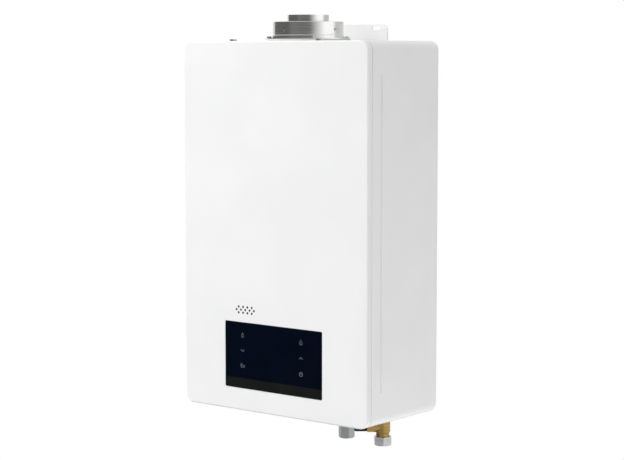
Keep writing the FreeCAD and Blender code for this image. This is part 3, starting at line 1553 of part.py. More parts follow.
def control_board():
    back = "tray_front + tray_depth - tray_wall"
    left = "tray_left + tray_wall + part_gap"
    right = "tray_right - tray_wall - part_gap"
    low = "tray_floor + tray_wall + part_gap"
    high = "tray_floor + tray_height - tray_wall - part_gap"
    face = f"{back} - board_gauge"
    pieces = [block(left, right, face, back, low, high)]
    width = f"(({right}) - ({left}))"
    height = f"(({high}) - ({low}))"
    parts = ((0.10, 0.50, 0.08, 0.36, 0.62), (0.60, 0.92, 0.08, 0.26, 0.45), (0.10, 0.42, 0.46, 0.62, 0.50),
             (0.56, 0.92, 0.36, 0.58, 0.34), (0.10, 0.90, 0.84, 0.95, 0.38))
    for x0, x1, z0, z1, depth in parts:
        pieces.append(block(f"{left} + {x0} * {width}", f"{left} + {x1} * {width}",
                            f"{face} - {depth} * (tray_depth - tray_wall - board_gauge)", f"{face} + board_gauge / 2",
                            f"{low} + {z0} * {height}", f"{low} + {z1} * {height}"))
    for x in (0.55, 0.75):
        pieces.append(rod("tray_wall * 2", "0.55 * (tray_depth - tray_wall)", f"{left} + {x} * {width}",
                          f"{face} - 0.55 * (tray_depth - tray_wall) + board_gauge / 2", f"{low} + 0.71 * {height}", "Y"))
    keep(fuse(*pieces), "control_board")


def igniter():
    floor = "burner_floor + tray_gap"
    keep(cut(block("-side_rib", "-side_rib + igniter_width", "tray_front", "tray_front + igniter_depth",
                   floor, f"{floor} + igniter_height"),
             *[rod("ceramic_radius", "igniter_depth / 3", f"-side_rib + igniter_width * {share}", "tray_front",
                   f"{floor} + igniter_height / 2", "Y") for share in (0.35, 0.7)]), "igniter")


def electrode_set():
    level = "burner_top - 3 * ceramic_radius"
    rods = []
    for side in (-1, 1):
        x = f"{side} * bar_pitch / 2"
        rods.append(rod("ceramic_radius", "2 * ceramic_reach", x, "works_front - ceramic_reach", level, "Y"))
        rods.append(rod("electrode_radius", "2 * ceramic_reach + electrode_reach", x, "works_front - ceramic_reach",
                        level, "Y"))
    plate = block("-bar_pitch", "bar_pitch", "works_front - works_wall", "works_front",
                  f"{level} - 2 * ceramic_radius", f"{level} + 2 * ceramic_radius")
    keep(fuse(plate, *rods), "electrode_set")


def overheat_switch():
    level = "burner_top + coil_rise + coil_pitch / 2"
    x = "works_half / 2"
    can = rod("switch_radius", "switch_height", x, "works_front - switch_height", level, "Y")
    ears = block(f"{x} - 1.8 * switch_radius", f"{x} + 1.8 * switch_radius", "works_front - works_wall", "works_front",
                 f"{level} - switch_radius / 2", f"{level} + switch_radius / 2")
    tabs = [block(f"{x} + {side} * switch_radius / 2 - 0.4", f"{x} + {side} * switch_radius / 2 + 0.4",
                  "works_front - 2 * switch_height", "works_front - switch_height + works_wall / 2",
                  f"{level} - 3", f"{level} + 3") for side in (-1, 1)]
    keep(fuse(can, ears, *tabs), "overheat_switch")


def cable_gland():
    body = new_body("cable_gland", "-gland_offset", "-gland_setback", "case_bottom")
    bore = "gland_radius / 2"
    turned(body, [
        (bore, "-gland_drop"), ("gland_radius * 0.8", "-gland_drop"), ("gland_flange", "-sheet_gauge * 3"),
        ("gland_flange", "0"), ("gland_radius", "0"), ("gland_radius", "4 * sheet_gauge"),
        (bore, "4 * sheet_gauge")])
    keep(body, "cable_gland")


def build():
    for make in (case_panels, front_cover, cover_seal, cover_screws, cover_pins, upper_bracket, lower_bracket,
                 glass_panel, display_frame, display_board, speaker,
                 flue_gasket, flue_collar, flange_screws, flue_pipe, flue_hood,
                 combustion_chamber, exchanger_fins, exchanger_tubes, inlet_coil, hot_pipe, pipe_nuts,
                 burner_box, burner_bars, gas_manifold, gas_nozzles, gas_riser, gas_inlet, gas_valve,
                 solenoids, plungers, lock_nuts, cold_inlet_tee, cold_union_nut, union_washer, drain_knob,
                 filter_screen, flow_sensor, hall_sensor, flow_straightener, flow_rotor, hot_outlet,
                 fan_scroll, fan_motor, fan_impeller, control_tray, control_board, igniter, electrode_set,
                 overheat_switch, cable_gland):
        make()
    doc.recompute()


def check_and_write():
    failed = [obj.Label for obj in doc.Objects if {"Invalid", "Error"} & set(obj.State)]
    failed += [obj.Label for obj in nodes if obj.Shape.isNull() or not obj.Shape.isValid() or not obj.Shape.Solids]
    if failed:
        raise ValueError("failed: " + ", ".join(failed))
    os.makedirs("parts", exist_ok=True)
    for obj in nodes:
        obj.Shape.exportStep(f"parts/{obj.Label}.step")
    print(len(nodes), "sub-parts")


build()
check_and_write()
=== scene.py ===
import math

import bmesh
import bpy
from mathutils import Matrix, Vector


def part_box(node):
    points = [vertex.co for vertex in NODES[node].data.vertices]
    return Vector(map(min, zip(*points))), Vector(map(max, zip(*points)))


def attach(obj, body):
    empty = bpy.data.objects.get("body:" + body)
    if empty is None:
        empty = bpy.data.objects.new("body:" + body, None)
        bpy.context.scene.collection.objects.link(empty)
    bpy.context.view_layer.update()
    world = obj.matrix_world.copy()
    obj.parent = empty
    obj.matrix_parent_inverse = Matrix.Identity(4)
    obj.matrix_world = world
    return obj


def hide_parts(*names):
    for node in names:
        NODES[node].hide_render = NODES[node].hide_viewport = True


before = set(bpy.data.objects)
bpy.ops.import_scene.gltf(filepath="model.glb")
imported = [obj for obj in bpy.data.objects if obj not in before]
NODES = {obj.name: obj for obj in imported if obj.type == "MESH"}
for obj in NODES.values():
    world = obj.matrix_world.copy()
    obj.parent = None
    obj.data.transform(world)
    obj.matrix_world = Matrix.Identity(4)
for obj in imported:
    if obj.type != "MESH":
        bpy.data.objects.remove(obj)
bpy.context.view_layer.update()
MM = 0.001


def box_mm(node):
    """The lower and the upper corner of a CAD node's box, in millimetres."""
    return [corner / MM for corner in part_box(node)]


# Node trees.

def empty_tree(owner, output):
    """The emptied node tree of a material or world, and the Surface input of its new output node."""
    owner.use_nodes = True
    tree = owner.node_tree
    tree.nodes.clear()
    return tree, tree.nodes.new(output).inputs["Surface"]


class Shader:
    """A material's node tree, with one Principled shader and short ways to add nodes to it."""

    MIX_FACTOR, MIX_FIRST, MIX_SECOND, MIX_RESULT = 0, 6, 7, 2

    def __init__(self, name, **values):
        self.material = bpy.data.materials.new(name)
        self.tree, surface = empty_tree(self.material, "ShaderNodeOutputMaterial")
        self.shader = self.node("ShaderNodeBsdfPrincipled", **values)
        self.link(self.shader.outputs[0], surface)
        self.place = self.node("ShaderNodeTexCoord").outputs["Object"]

    def node(self, kind, **values):
        """A new node, with a value for each input that is named."""
        node = self.tree.nodes.new(kind)
        for name, value in values.items():
            node.inputs[name.replace("_", " ")].default_value = value
        return node

    def link(self, source, target):
        self.tree.links.new(source, target)

    def scaled(self, scale):
        node = self.node("ShaderNodeMapping", Scale=scale)
        self.link(self.place, node.inputs["Vector"])
        return node.outputs[0]

    def noise(self, scale, detail=3.0, roughness=0.5, place=None):
        node = self.node("ShaderNodeTexNoise", Scale=scale, Detail=detail, Roughness=roughness)
        self.link(place or self.place, node.inputs["Vector"])
        return node.outputs["Fac"]

    def cells(self, scale):
        node = self.node("ShaderNodeTexVoronoi", Scale=scale)
        self.link(self.place, node.inputs["Vector"])
        return node.outputs["Color"]

    def ramp(self, source, low, high, start=0.3, end=0.7):
        """A colour from low to high while the source goes from start to end."""
        node = self.node("ShaderNodeValToRGB")
        for element, position, colour in zip(node.color_ramp.elements, (start, end), (low, high)):
            element.position = position
            element.color = (*colour, 1)
        self.link(source, node.inputs["Fac"])
        return node.outputs["Color"]

    def spread(self, source, low, high, start=0.0, end=1.0):
        """A value from low to high while the source goes from start to end."""
        node = self.node("ShaderNodeMapRange", From_Min=start, From_Max=end, To_Min=low, To_Max=high)
        self.link(source, node.inputs["Value"])
        return node.outputs[0]

    def mix(self, factor, first, second, blend="MIX"):
        """Two colours mixed; each argument is a socket or a plain value."""
        node = self.node("ShaderNodeMix")
        node.data_type = "RGBA"
        node.blend_type = blend
        sockets = (self.MIX_FACTOR, self.MIX_FIRST, self.MIX_SECOND)
        for socket, value in zip(sockets, (factor, first, second)):
            if hasattr(value, "links"):
                self.link(value, node.inputs[socket])
            else:
                node.inputs[socket].default_value = value
        return node.outputs[self.MIX_RESULT]

    def part(self, axis, vector=None):
        """One part of a vector, or of the place on the object."""
        node = self.node("ShaderNodeSeparateXYZ")
        self.link(vector or self.place, node.inputs[0])
        return node.outputs[axis]

    def normal(self):
        return self.node("ShaderNodeNewGeometry").outputs["Normal"]

    def math(self, operation, first, second=None):
        node = self.node("ShaderNodeMath")
        node.operation = operation
        self.link(first, node.inputs[0])
        if second is not None:
            self.link(second, node.inputs[1])
        return node.outputs[0]

    def gap(self, vector, point):
        """How far a vector lies from a fixed point."""
        node = self.node("ShaderNodeVectorMath")
        node.operation = "DISTANCE"
        self.link(vector, node.inputs[0])
        node.inputs[1].default_value = point
        return node.outputs["Value"]

    def within(self, source, low, high, edge):
        """1 between two values, and 0 outside them."""
        above = self.spread(source, 0, 1, low - edge, low)
        return self.math("MULTIPLY", above, self.spread(source, 1, 0, high, high + edge))

    def colour(self, source):
        self.link(source, self.shader.inputs["Base Color"])

    def rough(self, source):
        self.link(source, self.shader.inputs["Roughness"])

    def bump(self, source, strength, distance):
        """A relief on top of any that the shader already has."""
        node = self.node("ShaderNodeBump", Strength=strength, Distance=distance)
        self.link(source, node.inputs["Height"])
        normal = self.shader.inputs["Normal"]
        if normal.is_linked:
            self.link(normal.links[0].from_socket, node.inputs["Normal"])
        self.link(node.outputs[0], normal)


# Kinds of finish.

RELIEF = 0.2 * MM


def paint(name, low, high, roughness, *marks):
    """Sprayed enamel: a faint orange peel, slow colour drift, and marks given by a mask and a colour."""
    s = Shader(name, IOR=1.5)
    drift, sheen = s.noise(9, 2), s.noise(60, 3)
    peel, ripple = s.noise(900, 2), s.noise(260, 2)
    tone = s.ramp(drift, low, high, 0.35, 0.65)
    for mask, colour in marks:
        tone = s.mix(mask(s), tone, colour)
    s.colour(tone)
    s.rough(s.spread(sheen, roughness - 0.05, roughness + 0.06))
    s.bump(peel, 0.05, RELIEF)
    s.bump(ripple, 0.03, 2 * RELIEF)
    return s.material


def sheet_metal(name, low, high, roughness, spangle=90):
    """Galvanised or cast metal: cells in slightly different greys."""
    s = Shader(name, Metallic=1)
    haze, grain = s.noise(70, 4), s.noise(500, 3)
    s.colour(s.ramp(s.cells(spangle), low, high, 0.1, 0.9))
    s.rough(s.spread(haze, roughness - 0.08, roughness + 0.1))
    s.bump(grain, 0.08, RELIEF)
    return s.material


def brushed(name, low, high, roughness, stretch):
    """Drawn or turned metal: fine lines along one direction, and a slow stain."""
    s = Shader(name, Metallic=1)
    lines = s.noise(1, 4, 0.6, s.scaled(stretch))
    stain = s.noise(25, 3)
    s.colour(s.mix(0.25, s.ramp(lines, low, high), s.ramp(stain, low, high), "MULTIPLY"))
    s.rough(s.spread(lines, roughness - 0.07, roughness + 0.1, 0.3, 0.7))
    s.bump(lines, 0.06, RELIEF)
    return s.material


def plastic(name, low, high, roughness, grain=700, specular=0.5):
    """Moulded plastic: a fine spark-eroded grain."""
    s = Shader(name, IOR=1.46, Specular_IOR_Level=specular)
    drift, sheen = s.noise(40, 3), s.noise(120, 3)
    s.colour(s.ramp(drift, low, high))
    s.rough(s.spread(sheen, roughness - 0.07, roughness + 0.08))
    s.bump(s.noise(grain, 2), 0.12, RELIEF)
    return s.material


STRIP_TOP, STRIP_BLUR = 15 * MM, 0.5 * MM
NAVY = (0.0010, 0.0028, 0.0080), (0.0014, 0.0036, 0.0100)
OLIVE = (0.0088, 0.0096, 0.0094), (0.0115, 0.0122, 0.0120)


def touch_glass():
    """Dark glass with a greyer strip along its lower edge."""
    s = Shader("touch_glass", IOR=1.5)
    haze, smear = s.noise(30, 3), s.noise(80, 4)
    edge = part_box("glass_panel")[0].z + STRIP_TOP
    strip = s.spread(s.part("Z"), 1, 0, edge - STRIP_BLUR, edge + STRIP_BLUR)
    s.colour(s.mix(strip, s.ramp(haze, *NAVY), s.ramp(haze, *OLIVE)))
    s.rough(s.spread(smear, 0.05, 0.11))
    return s.material


# Marks on the enamel: painted shade where the case's lower edges turn under, on the floor of the side
# grooves, and in and round the speaker holes.

CASE_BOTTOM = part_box("front_cover")[0].z
CASE_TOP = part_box("case_top")[1].z
CASE_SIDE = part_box("case_right")[1].x
FLAT_BELOW, TURNED_UNDER = -0.995, -0.975
COVER_EDGE, FLOOR_EDGE = 2.6 * MM, 4.5 * MM
GROOVE_DEPTH, GROOVE_END = 0.6 * MM, 47.5 * MM
GROOVE_SLACK, GROOVE_BLUR, GROOVE_END_BLUR = 0.06 * MM, 0.1 * MM, 1 * MM
GRILLE_PITCH, GRILLE_ROW_PITCH = 8.3 * MM, 4.3 * MM
GRILLE_ROWS = ((-1, 4), (0, 5), (1, 4))
HOLE_RADIUS, HOLE_SHADE_REACH = 1.3 * MM, 2.1 * MM
# Painted shade where the case's lower edges turn under.
UNDER_EDGE_SHADE = (0.6, 0.6, 0.595, 1)
# Painted shade on the floor of the side grooves.
GROOVE_SHADE = (0.8, 0.8, 0.795, 1)
# Painted shade in the speaker holes and in a ring round each.
HOLE_SHADE = (0.03, 0.03, 0.03, 1)


def lower_edge(height):
    """A mask for painted shade: 1 low on the case, where its edge turns under, and 0 on the flat underside.
    """
    def mask(s):
        band = s.spread(s.part("Z"), 1, 0, CASE_BOTTOM + height / 2, CASE_BOTTOM + height)
        edge = s.spread(s.part("Z", s.normal()), 0, 1, FLAT_BELOW, TURNED_UNDER)
        return s.math("MULTIPLY", band, edge)
    return mask


def groove(s):
    """A mask for painted shade: 1 on the floor of the groove down each side of the case."""
    floor = CASE_SIDE - GROOVE_DEPTH
    side = s.math("ABSOLUTE", s.part("X"))
    depth = s.within(side, floor - GROOVE_SLACK, floor + GROOVE_BLUR, GROOVE_BLUR)
    length = s.within(s.part("Z"), CASE_BOTTOM + GROOVE_END, CASE_TOP - GROOVE_END, GROOVE_END_BLUR)
    return s.math("MULTIPLY", depth, length)


def speaker_hole_shade(s):
    """A mask for painted shade: 1 in the holes in front of the speaker, fading out in a ring round each
    hole.
    """
    low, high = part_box("speaker")
    middle = (low + high) / 2
    flat = s.scaled((1, 0, 1))
    nearest = None
    for row, count in GRILLE_ROWS:
        for index in range(count):
            x = middle.x + (index - (count - 1) / 2) * GRILLE_PITCH
            gap = s.gap(flat, (x, 0, middle.z + row * GRILLE_ROW_PITCH))
            nearest = s.math("MINIMUM", nearest, gap) if nearest else gap
    return s.spread(nearest, 1, 0, HOLE_RADIUS, HOLE_SHADE_REACH)


# The finishes, and the CAD nodes that wear them.

ENAMEL = ((0.86, 0.86, 0.865), (0.885, 0.885, 0.885), 0.34)
WHITE = paint("white_enamel", *ENAMEL)
# Painted light: the brackets' enamel is a lighter copy of the white enamel, brightening them where they get
# less light than the front.
BRACKET_LIT_WHITE = paint("bracket_enamel_lit", (0.9, 0.9, 0.9), (0.915, 0.915, 0.915), 0.4)
# The cover wears painted shade along its lower edge and in and round the speaker holes.
COVER_WHITE = paint("cover_enamel", *ENAMEL, (lower_edge(COVER_EDGE), UNDER_EDGE_SHADE), (speaker_hole_shade, HOLE_SHADE))
# The floor panel wears painted shade along its lower edge.
FLOOR_WHITE = paint("floor_enamel", *ENAMEL, (lower_edge(FLOOR_EDGE), UNDER_EDGE_SHADE))
# The side panels wear painted shade in their grooves.
SIDE_WHITE = paint("side_enamel", *ENAMEL, (groove, GROOVE_SHADE))
ZINC = sheet_metal("galvanised", (0.42, 0.43, 0.44), (0.62, 0.63, 0.64), 0.42)
ALLOY = sheet_metal("die_cast", (0.5, 0.5, 0.51), (0.62, 0.62, 0.63), 0.5, 500)
STEEL = brushed("turned_stainless", (0.66, 0.66, 0.65), (0.74, 0.74, 0.73), 0.2, (8, 8, 700))
PLATED = brushed("plated_steel", (0.39, 0.395, 0.4), (0.49, 0.495, 0.5), 0.36, (30, 30, 500))
NICKEL = brushed("nickel", (0.55, 0.56, 0.555), (0.66, 0.67, 0.665), 0.3, (40, 40, 500))
COPPER = brushed("copper", (0.68, 0.33, 0.2), (0.8, 0.42, 0.27), 0.32, (160, 160, 160))
BRASS = brushed("brass", (0.36, 0.24, 0.075), (0.53, 0.38, 0.14), 0.3, (20, 20, 600))
BLACK = plastic("black_plastic", (0.012, 0.012, 0.013), (0.022, 0.022, 0.023), 0.45)
RUBBER = plastic("knob_rubber", (0.004, 0.004, 0.0042), (0.008, 0.008, 0.0083), 0.6, 900, 0.15)
NATURAL = plastic("natural_plastic", (0.66, 0.66, 0.63), (0.74, 0.74, 0.72), 0.5)
GREEN = plastic("solder_mask", (0.015, 0.10, 0.045), (0.03, 0.16, 0.075), 0.35, 300)
FOAM = plastic("foam", (0.02, 0.02, 0.021), (0.05, 0.05, 0.052), 0.85, 1500)
FIBRE = plastic("fibre", (0.6, 0.6, 0.59), (0.76, 0.76, 0.74), 0.8, 900)
LEGEND = plastic("legend", (0.17, 0.175, 0.19), (0.21, 0.215, 0.23), 0.5, 400)
TAPE = plastic("winding_tape", (0.62, 0.44, 0.06), (0.72, 0.52, 0.1), 0.4, 500)
SLEEVE = plastic("capacitor_sleeve", (0.012, 0.02, 0.06), (0.02, 0.032, 0.09), 0.3, 300)
CERAMIC = plastic("glazed_ceramic", (0.8, 0.79, 0.74), (0.86, 0.85, 0.81), 0.16, 60)
GLASS = touch_glass()


def finish_nodes(material, *names):
    for name in names:
        obj = NODES[name]
        obj.data.materials.clear()
        obj.data.materials.append(material)


finish_nodes(WHITE, "case_back", "case_top")
finish_nodes(BRACKET_LIT_WHITE, "upper_bracket", "lower_bracket")
finish_nodes(COVER_WHITE, "front_cover")
finish_nodes(FLOOR_WHITE, "case_floor")
finish_nodes(SIDE_WHITE, "case_left", "case_right")
finish_nodes(ZINC, "cover_screws", "cover_pins", "flange_screws", "flue_hood", "burner_box", "fan_scroll")
finish_nodes(STEEL, "flue_collar", "flue_pipe", "burner_bars", "filter_screen", "shutoff_plunger",
             "modulating_plunger")
finish_nodes(PLATED, "gas_inlet", "lock_nuts", "gas_riser", "overheat_switch")
finish_nodes(NICKEL, "cold_union_nut")
finish_nodes(GLASS, "glass_panel")
finish_nodes(BLACK, "display_frame", "speaker", "fan_motor", "fan_impeller", "shutoff_coil",
             "modulating_coil", "hall_sensor", "cable_gland", "igniter")
finish_nodes(RUBBER, "drain_knob")
finish_nodes(NATURAL, "flow_straightener", "flow_rotor", "control_tray")
finish_nodes(GREEN, "display_board", "control_board")
finish_nodes(FOAM, "cover_seal", "union_washer")
finish_nodes(FIBRE, "flue_gasket")
finish_nodes(COPPER, "combustion_chamber", "exchanger_fins", "exchanger_tubes", "inlet_coil", "hot_pipe")
finish_nodes(BRASS, "cold_inlet_tee", "hot_outlet", "pipe_nuts", "gas_nozzles", "flow_sensor")
finish_nodes(ALLOY, "gas_valve", "gas_manifold")
finish_nodes(CERAMIC, "electrode_set")


# Pieces.

WELD, SLIVER = 0.002 * MM, 0.001 * MM
SMOOTH_TURN, FACET_TURN = 35, 18


def add_piece(name, bm, material, body, sharp=SMOOTH_TURN):
    """A mesh piece in metres that moves with a body; sharp is the turn in degrees that stays an edge."""
    bmesh.ops.remove_doubles(bm, verts=bm.verts, dist=WELD)
    bmesh.ops.dissolve_degenerate(bm, edges=bm.edges, dist=SLIVER)
    bmesh.ops.recalc_face_normals(bm, faces=bm.faces)
    mesh = bpy.data.meshes.new(name)
    bm.to_mesh(mesh)
    bm.free()
    mesh.polygons.foreach_set("use_smooth", [True] * len(mesh.polygons))
    mesh.set_sharp_from_angle(angle=math.radians(sharp))
    mesh.materials.append(material)
    obj = bpy.data.objects.new(name, mesh)
    bpy.context.scene.collection.objects.link(obj)
    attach(obj, body)
    return obj


COLUMNS = 96


class Turning:
    """A round or hexagonal piece about a vertical axis, built ring by ring, in millimetres."""

    def __init__(self, x, y, z, turn=0.0):
        self.bm = bmesh.new()
        self.place = Vector((x, y, z)) * MM
        self.turn = turn
        self.last = None
        self.first = None

    def point(self, column, radius, level):
        angle = math.radians(self.turn + 360 * column / COLUMNS)
        offset = Vector((radius * math.cos(angle), radius * math.sin(angle), level))
        return self.bm.verts.new(self.place + offset * MM)

    def ring(self, radius, level):
        """The next ring; radius and level are numbers, or functions of the column."""
        radius_at = radius if callable(radius) else lambda column: radius
        level_at = level if callable(level) else lambda column: level
        verts = [self.point(column, radius_at(column), level_at(column)) for column in range(COLUMNS)]
        if self.last:
            self.join(self.last, verts)
        self.first = self.first or verts
        self.last = verts

    def join(self, low, high):
        for column in range(COLUMNS):
            after = (column + 1) % COLUMNS
            self.bm.faces.new((low[column], low[after], high[after], high[column]))

    def close(self):
        self.join(self.last, self.first)
        return self.bm

    def thread(self, root, crest, pitch, start, end):
        """A screw thread from one level to another, between two plain rings of the root's radius."""
        low, high = min(start, end), max(start, end)
        profile = ((0, root), (1 / 6, root), (1 / 2, crest), (2 / 3, crest))
        turns = math.ceil((high - low) / pitch) + 1
        rows = []
        for row in range(-len(profile), len(profile) * turns + 1):
            turn, corner = divmod(row, len(profile))
            share, radius = profile[corner]
            lead = low + (turn + share) * pitch
            verts = []
            for column in range(COLUMNS + 1):
                level = lead + pitch * column / COLUMNS
                inside = low < level < high
                verts.append(self.point(column, radius if inside else root, min(max(level, low), high)))
            rows.append(verts)
        for below, above in zip(rows, rows[1:]):
            for column in range(COLUMNS):
                self.bm.faces.new((below[column], below[column + 1], above[column + 1], above[column]))
        self.ring(root, start)
        self.last = None
        self.ring(root, end)


def hex_radius(across):
    """A hexagon's radius by column, with its corners on the columns that start each sixth."""
    def radius(column):
        return across / 2 / math.cos(math.radians((360 * column / COLUMNS) % 60 - 30))
    return radius


def hex_bevel(across, end, slope):
    """A hexagon's bevelled end by column: at the level end on the flats, further on at the corners."""
    radius = hex_radius(across)

    def level(column):
        return end + slope * (radius(column) - across / 2)
    return level


# The three fittings with real screw threads, in millimetres.

FITTING_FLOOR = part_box("case_floor")[0].z / MM
FLANGE_RADIUS, FLANGE_HEIGHT, FLANGE_ROUND = 13.5, 5, 0.5
NIPPLE_RADIUS = 10.2
HALF_INCH = dict(root=9.32, crest=10.48, pitch=1.814)
THREE_EIGHTHS = dict(root=7.48, crest=8.33, pitch=1.337)


def flange_rings(piece, below):
    """The flange under the case's floor, from the radius below it up to the nipple above it."""
    piece.ring(below, -FLANGE_HEIGHT)
    piece.ring(FLANGE_RADIUS - FLANGE_ROUND, -FLANGE_HEIGHT)
    piece.ring(FLANGE_RADIUS, -FLANGE_HEIGHT + FLANGE_ROUND)
    piece.ring(FLANGE_RADIUS, 0)
    piece.ring(NIPPLE_RADIUS, 0)


WATER_BORE = 6
RUN_OUT = 1


def hot_fitting():
    """The hot outlet with its outer thread."""
    low, high = box_mm("hot_outlet")
    axis = (low + high) / 2
    end, top = low.z - FITTING_FLOOR, high.z - FITTING_FLOOR
    piece = Turning(axis.x, axis.y, FITTING_FLOOR)
    piece.ring(WATER_BORE, end)
    piece.ring(HALF_INCH["root"], end)
    piece.thread(**HALF_INCH, start=end, end=-FLANGE_HEIGHT - RUN_OUT)
    flange_rings(piece, HALF_INCH["root"])
    piece.ring(NIPPLE_RADIUS, top)
    piece.ring(WATER_BORE, top)
    obj = add_piece("hot_fitting", piece.close(), BRASS, "chassis")
    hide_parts("hot_outlet")


GAS_ACROSS, GAS_TURN = 21, 23.5
GAS_BORE, GAS_SOCKET = 7, 12
GAS_LEAD_IN = 0.9


def gas_fitting():
    """The gas stub: a hexagon bevelled below, with a screw thread inside its lower end."""
    low, high = box_mm("gas_inlet")
    axis = (low + high) / 2
    end, top = low.z - FITTING_FLOOR, high.z - FITTING_FLOOR
    hexagon = hex_radius(GAS_ACROSS)
    piece = Turning(axis.x, axis.y, FITTING_FLOOR, GAS_TURN)
    piece.ring(GAS_BORE, end + GAS_SOCKET)
    piece.ring(THREE_EIGHTHS["root"], end + GAS_SOCKET)
    piece.thread(**THREE_EIGHTHS, start=end + GAS_SOCKET, end=end + GAS_LEAD_IN)
    piece.ring(THREE_EIGHTHS["root"] + GAS_LEAD_IN, end)
    piece.ring(GAS_ACROSS / 2, end)
    piece.ring(hexagon, hex_bevel(GAS_ACROSS, end, 1))
    piece.ring(hexagon, -FLANGE_HEIGHT)
    flange_rings(piece, hexagon)
    piece.ring(NIPPLE_RADIUS, top)
    piece.ring(GAS_BORE, top)
    obj = add_piece("gas_fitting", piece.close(), PLATED, "chassis", FACET_TURN)
    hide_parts("gas_inlet")


NUT_ACROSS, NUT_TURN = 24, 11.3
NUT_HOLE, NUT_WALL = 8.7, 1.8
RECESS_RADIUS, RECESS_HEIGHT = 9.7, 3.6
NUT_LEAD_IN = 1
NUT_TOP_SLOPE = 0.12


def swivel_nut():
    """The union nut: bevelled below, barely above, with the screw thread that the pipe end goes into."""
    low, high = box_mm("cold_union_nut")
    axis = (low + high) / 2
    end = low.z - high.z
    shoulder = -NUT_WALL - RECESS_HEIGHT
    hexagon = hex_radius(NUT_ACROSS)
    piece = Turning(axis.x, axis.y, high.z, NUT_TURN)
    piece.ring(NUT_HOLE, 0)
    piece.ring(NUT_HOLE, -NUT_WALL)
    piece.ring(RECESS_RADIUS, -NUT_WALL)
    piece.ring(RECESS_RADIUS, shoulder)
    piece.ring(HALF_INCH["root"], shoulder)
    piece.thread(**HALF_INCH, start=shoulder, end=end + NUT_LEAD_IN)
    piece.ring(HALF_INCH["root"] + NUT_LEAD_IN, end)
    piece.ring(NUT_ACROSS / 2, end)
    piece.ring(hexagon, hex_bevel(NUT_ACROSS, end, 1))
    piece.ring(hexagon, hex_bevel(NUT_ACROSS, 0, -NUT_TOP_SLOPE))
    piece.ring(NUT_ACROSS / 2, 0)
    obj = add_piece("swivel_nut", piece.close(), NICKEL, "union_nut", FACET_TURN)
    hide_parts("cold_union_nut")


hot_fitting()
gas_fitting()
swivel_nut()


# The touch symbols on the glass, in millimetres.

ICON_LINE, ICON_INK = 0.6, 0.05
DROP_HALF_WIDTH, DROP_HALF_HEIGHT, DROP_TAPER, DROP_POINTS = 2.5, 3.4, 1.5, 24
LONGEST_MITRE = 2


def arc(x, z, radius, first, last, steps=20):
    angles = [math.radians(first + (last - first) * index / steps) for index in range(steps + 1)]
    return [(x + radius * math.cos(angle), z + radius * math.sin(angle)) for angle in angles]


def drop():
    angles = [2 * math.pi * index / DROP_POINTS for index in range(DROP_POINTS)]
    return [(DROP_HALF_WIDTH * math.sin(angle) * math.sin(angle / 2) ** DROP_TAPER,
             DROP_HALF_HEIGHT * math.cos(angle)) for angle in angles]


def stroke(bm, points, place, front, back, closed):
    """A flat line of even width on the glass, with mitred corners."""
    points = [Vector(point) for point in points]
    count = len(points)
    rings = []
    for index, point in enumerate(points):
        ways = []
        if index > 0 or closed:
            ways.append((point - points[index - 1]).normalized())
        if index < count - 1 or closed:
            ways.append((points[(index + 1) % count] - point).normalized())
        along = sum(ways, Vector((0, 0))).normalized()
        across = Vector((-along.y, along.x))
        straight = Vector((-ways[0].y, ways[0].x))
        reach = ICON_LINE / 2 / max(1 / LONGEST_MITRE, across.dot(straight))
        left, right = point + across * reach, point - across * reach
        corners = ((left, front), (right, front), (right, back), (left, back))
        rings.append([bm.verts.new(Vector((place[0] + corner.x, level, place[1] + corner.y)) * MM)
                      for corner, level in corners])
    pairs = list(zip(rings, rings[1:]))
    if closed:
        pairs.append((rings[-1], rings[0]))
    else:
        bm.faces.new(rings[0])
        bm.faces.new(rings[-1])
    for ring, after in pairs:
        for side in range(4):
            other = (side + 1) % 4
            bm.faces.new((ring[side], ring[other], after[other], after[side]))


def touch_icons():
    """Six plain symbols: drop, arrows, bath, power and clock, placed from the glass's upper left."""
    bath = [(-3.8, 0.4), (3.8, 0.4), (3.2, -1.6), (2.0, -2.6), (-2.0, -2.6), (-3.2, -1.6)]
    tap = [(-2.9, 0.9), (-2.9, 3.0), (-1.2, 3.0), (-1.2, 2.2)]
    down = [(-3.2, 1.4), (0, -1.6), (3.2, 1.4)]
    up = [(-3.2, -1.5), (0, 1.5), (3.2, -1.5)]
    power_ring, power_bar = arc(0, -0.4, 2.5, 125, 415), [(0, 0.6), (0, 4.6)]
    clock_ring, clock_hands = arc(0, 0, 3.0, 0, 345, 23), [(0, 1.9), (0, 0), (1.5, -0.9)]
    icons = (
        (33.7, 18.7, ((drop(), True),)),
        (33.7, 41.4, ((down, False),)),
        (33.7, 63.9, ((bath, True), (tap, False))),
        (143.3, 19.2, ((power_ring, False), (power_bar, False))),
        (143.3, 41.6, ((up, False),)),
        (143.5, 64.8, ((clock_ring, True), (clock_hands, False))),
    )
    low, high = box_mm("glass_panel")
    bm = bmesh.new()
    for across, below, lines in icons:
        for points, closed in lines:
            stroke(bm, points, (low.x + across, high.z - below), low.y - ICON_INK, low.y + ICON_INK, closed)
    add_piece("touch_icons", bm, LEGEND, "cover")


touch_icons()


# The control board, with its parts at the places of the plain solid's blocks.

BOARD_LOW, BOARD_HIGH = box_mm("control_board")
BOARD_GAUGE = 1.6
BOARD_FACE = BOARD_HIGH.y - BOARD_GAUGE
TRAY_GAP = 0.1
BOARD_ROOM = BOARD_FACE - box_mm("control_tray")[0].y - TRAY_GAP


def on_board(x, z):
    """A place on the board, from its shares of the board's width and height."""
    return (BOARD_LOW.x + x * (BOARD_HIGH.x - BOARD_LOW.x), BOARD_LOW.z + z * (BOARD_HIGH.z - BOARD_LOW.z))


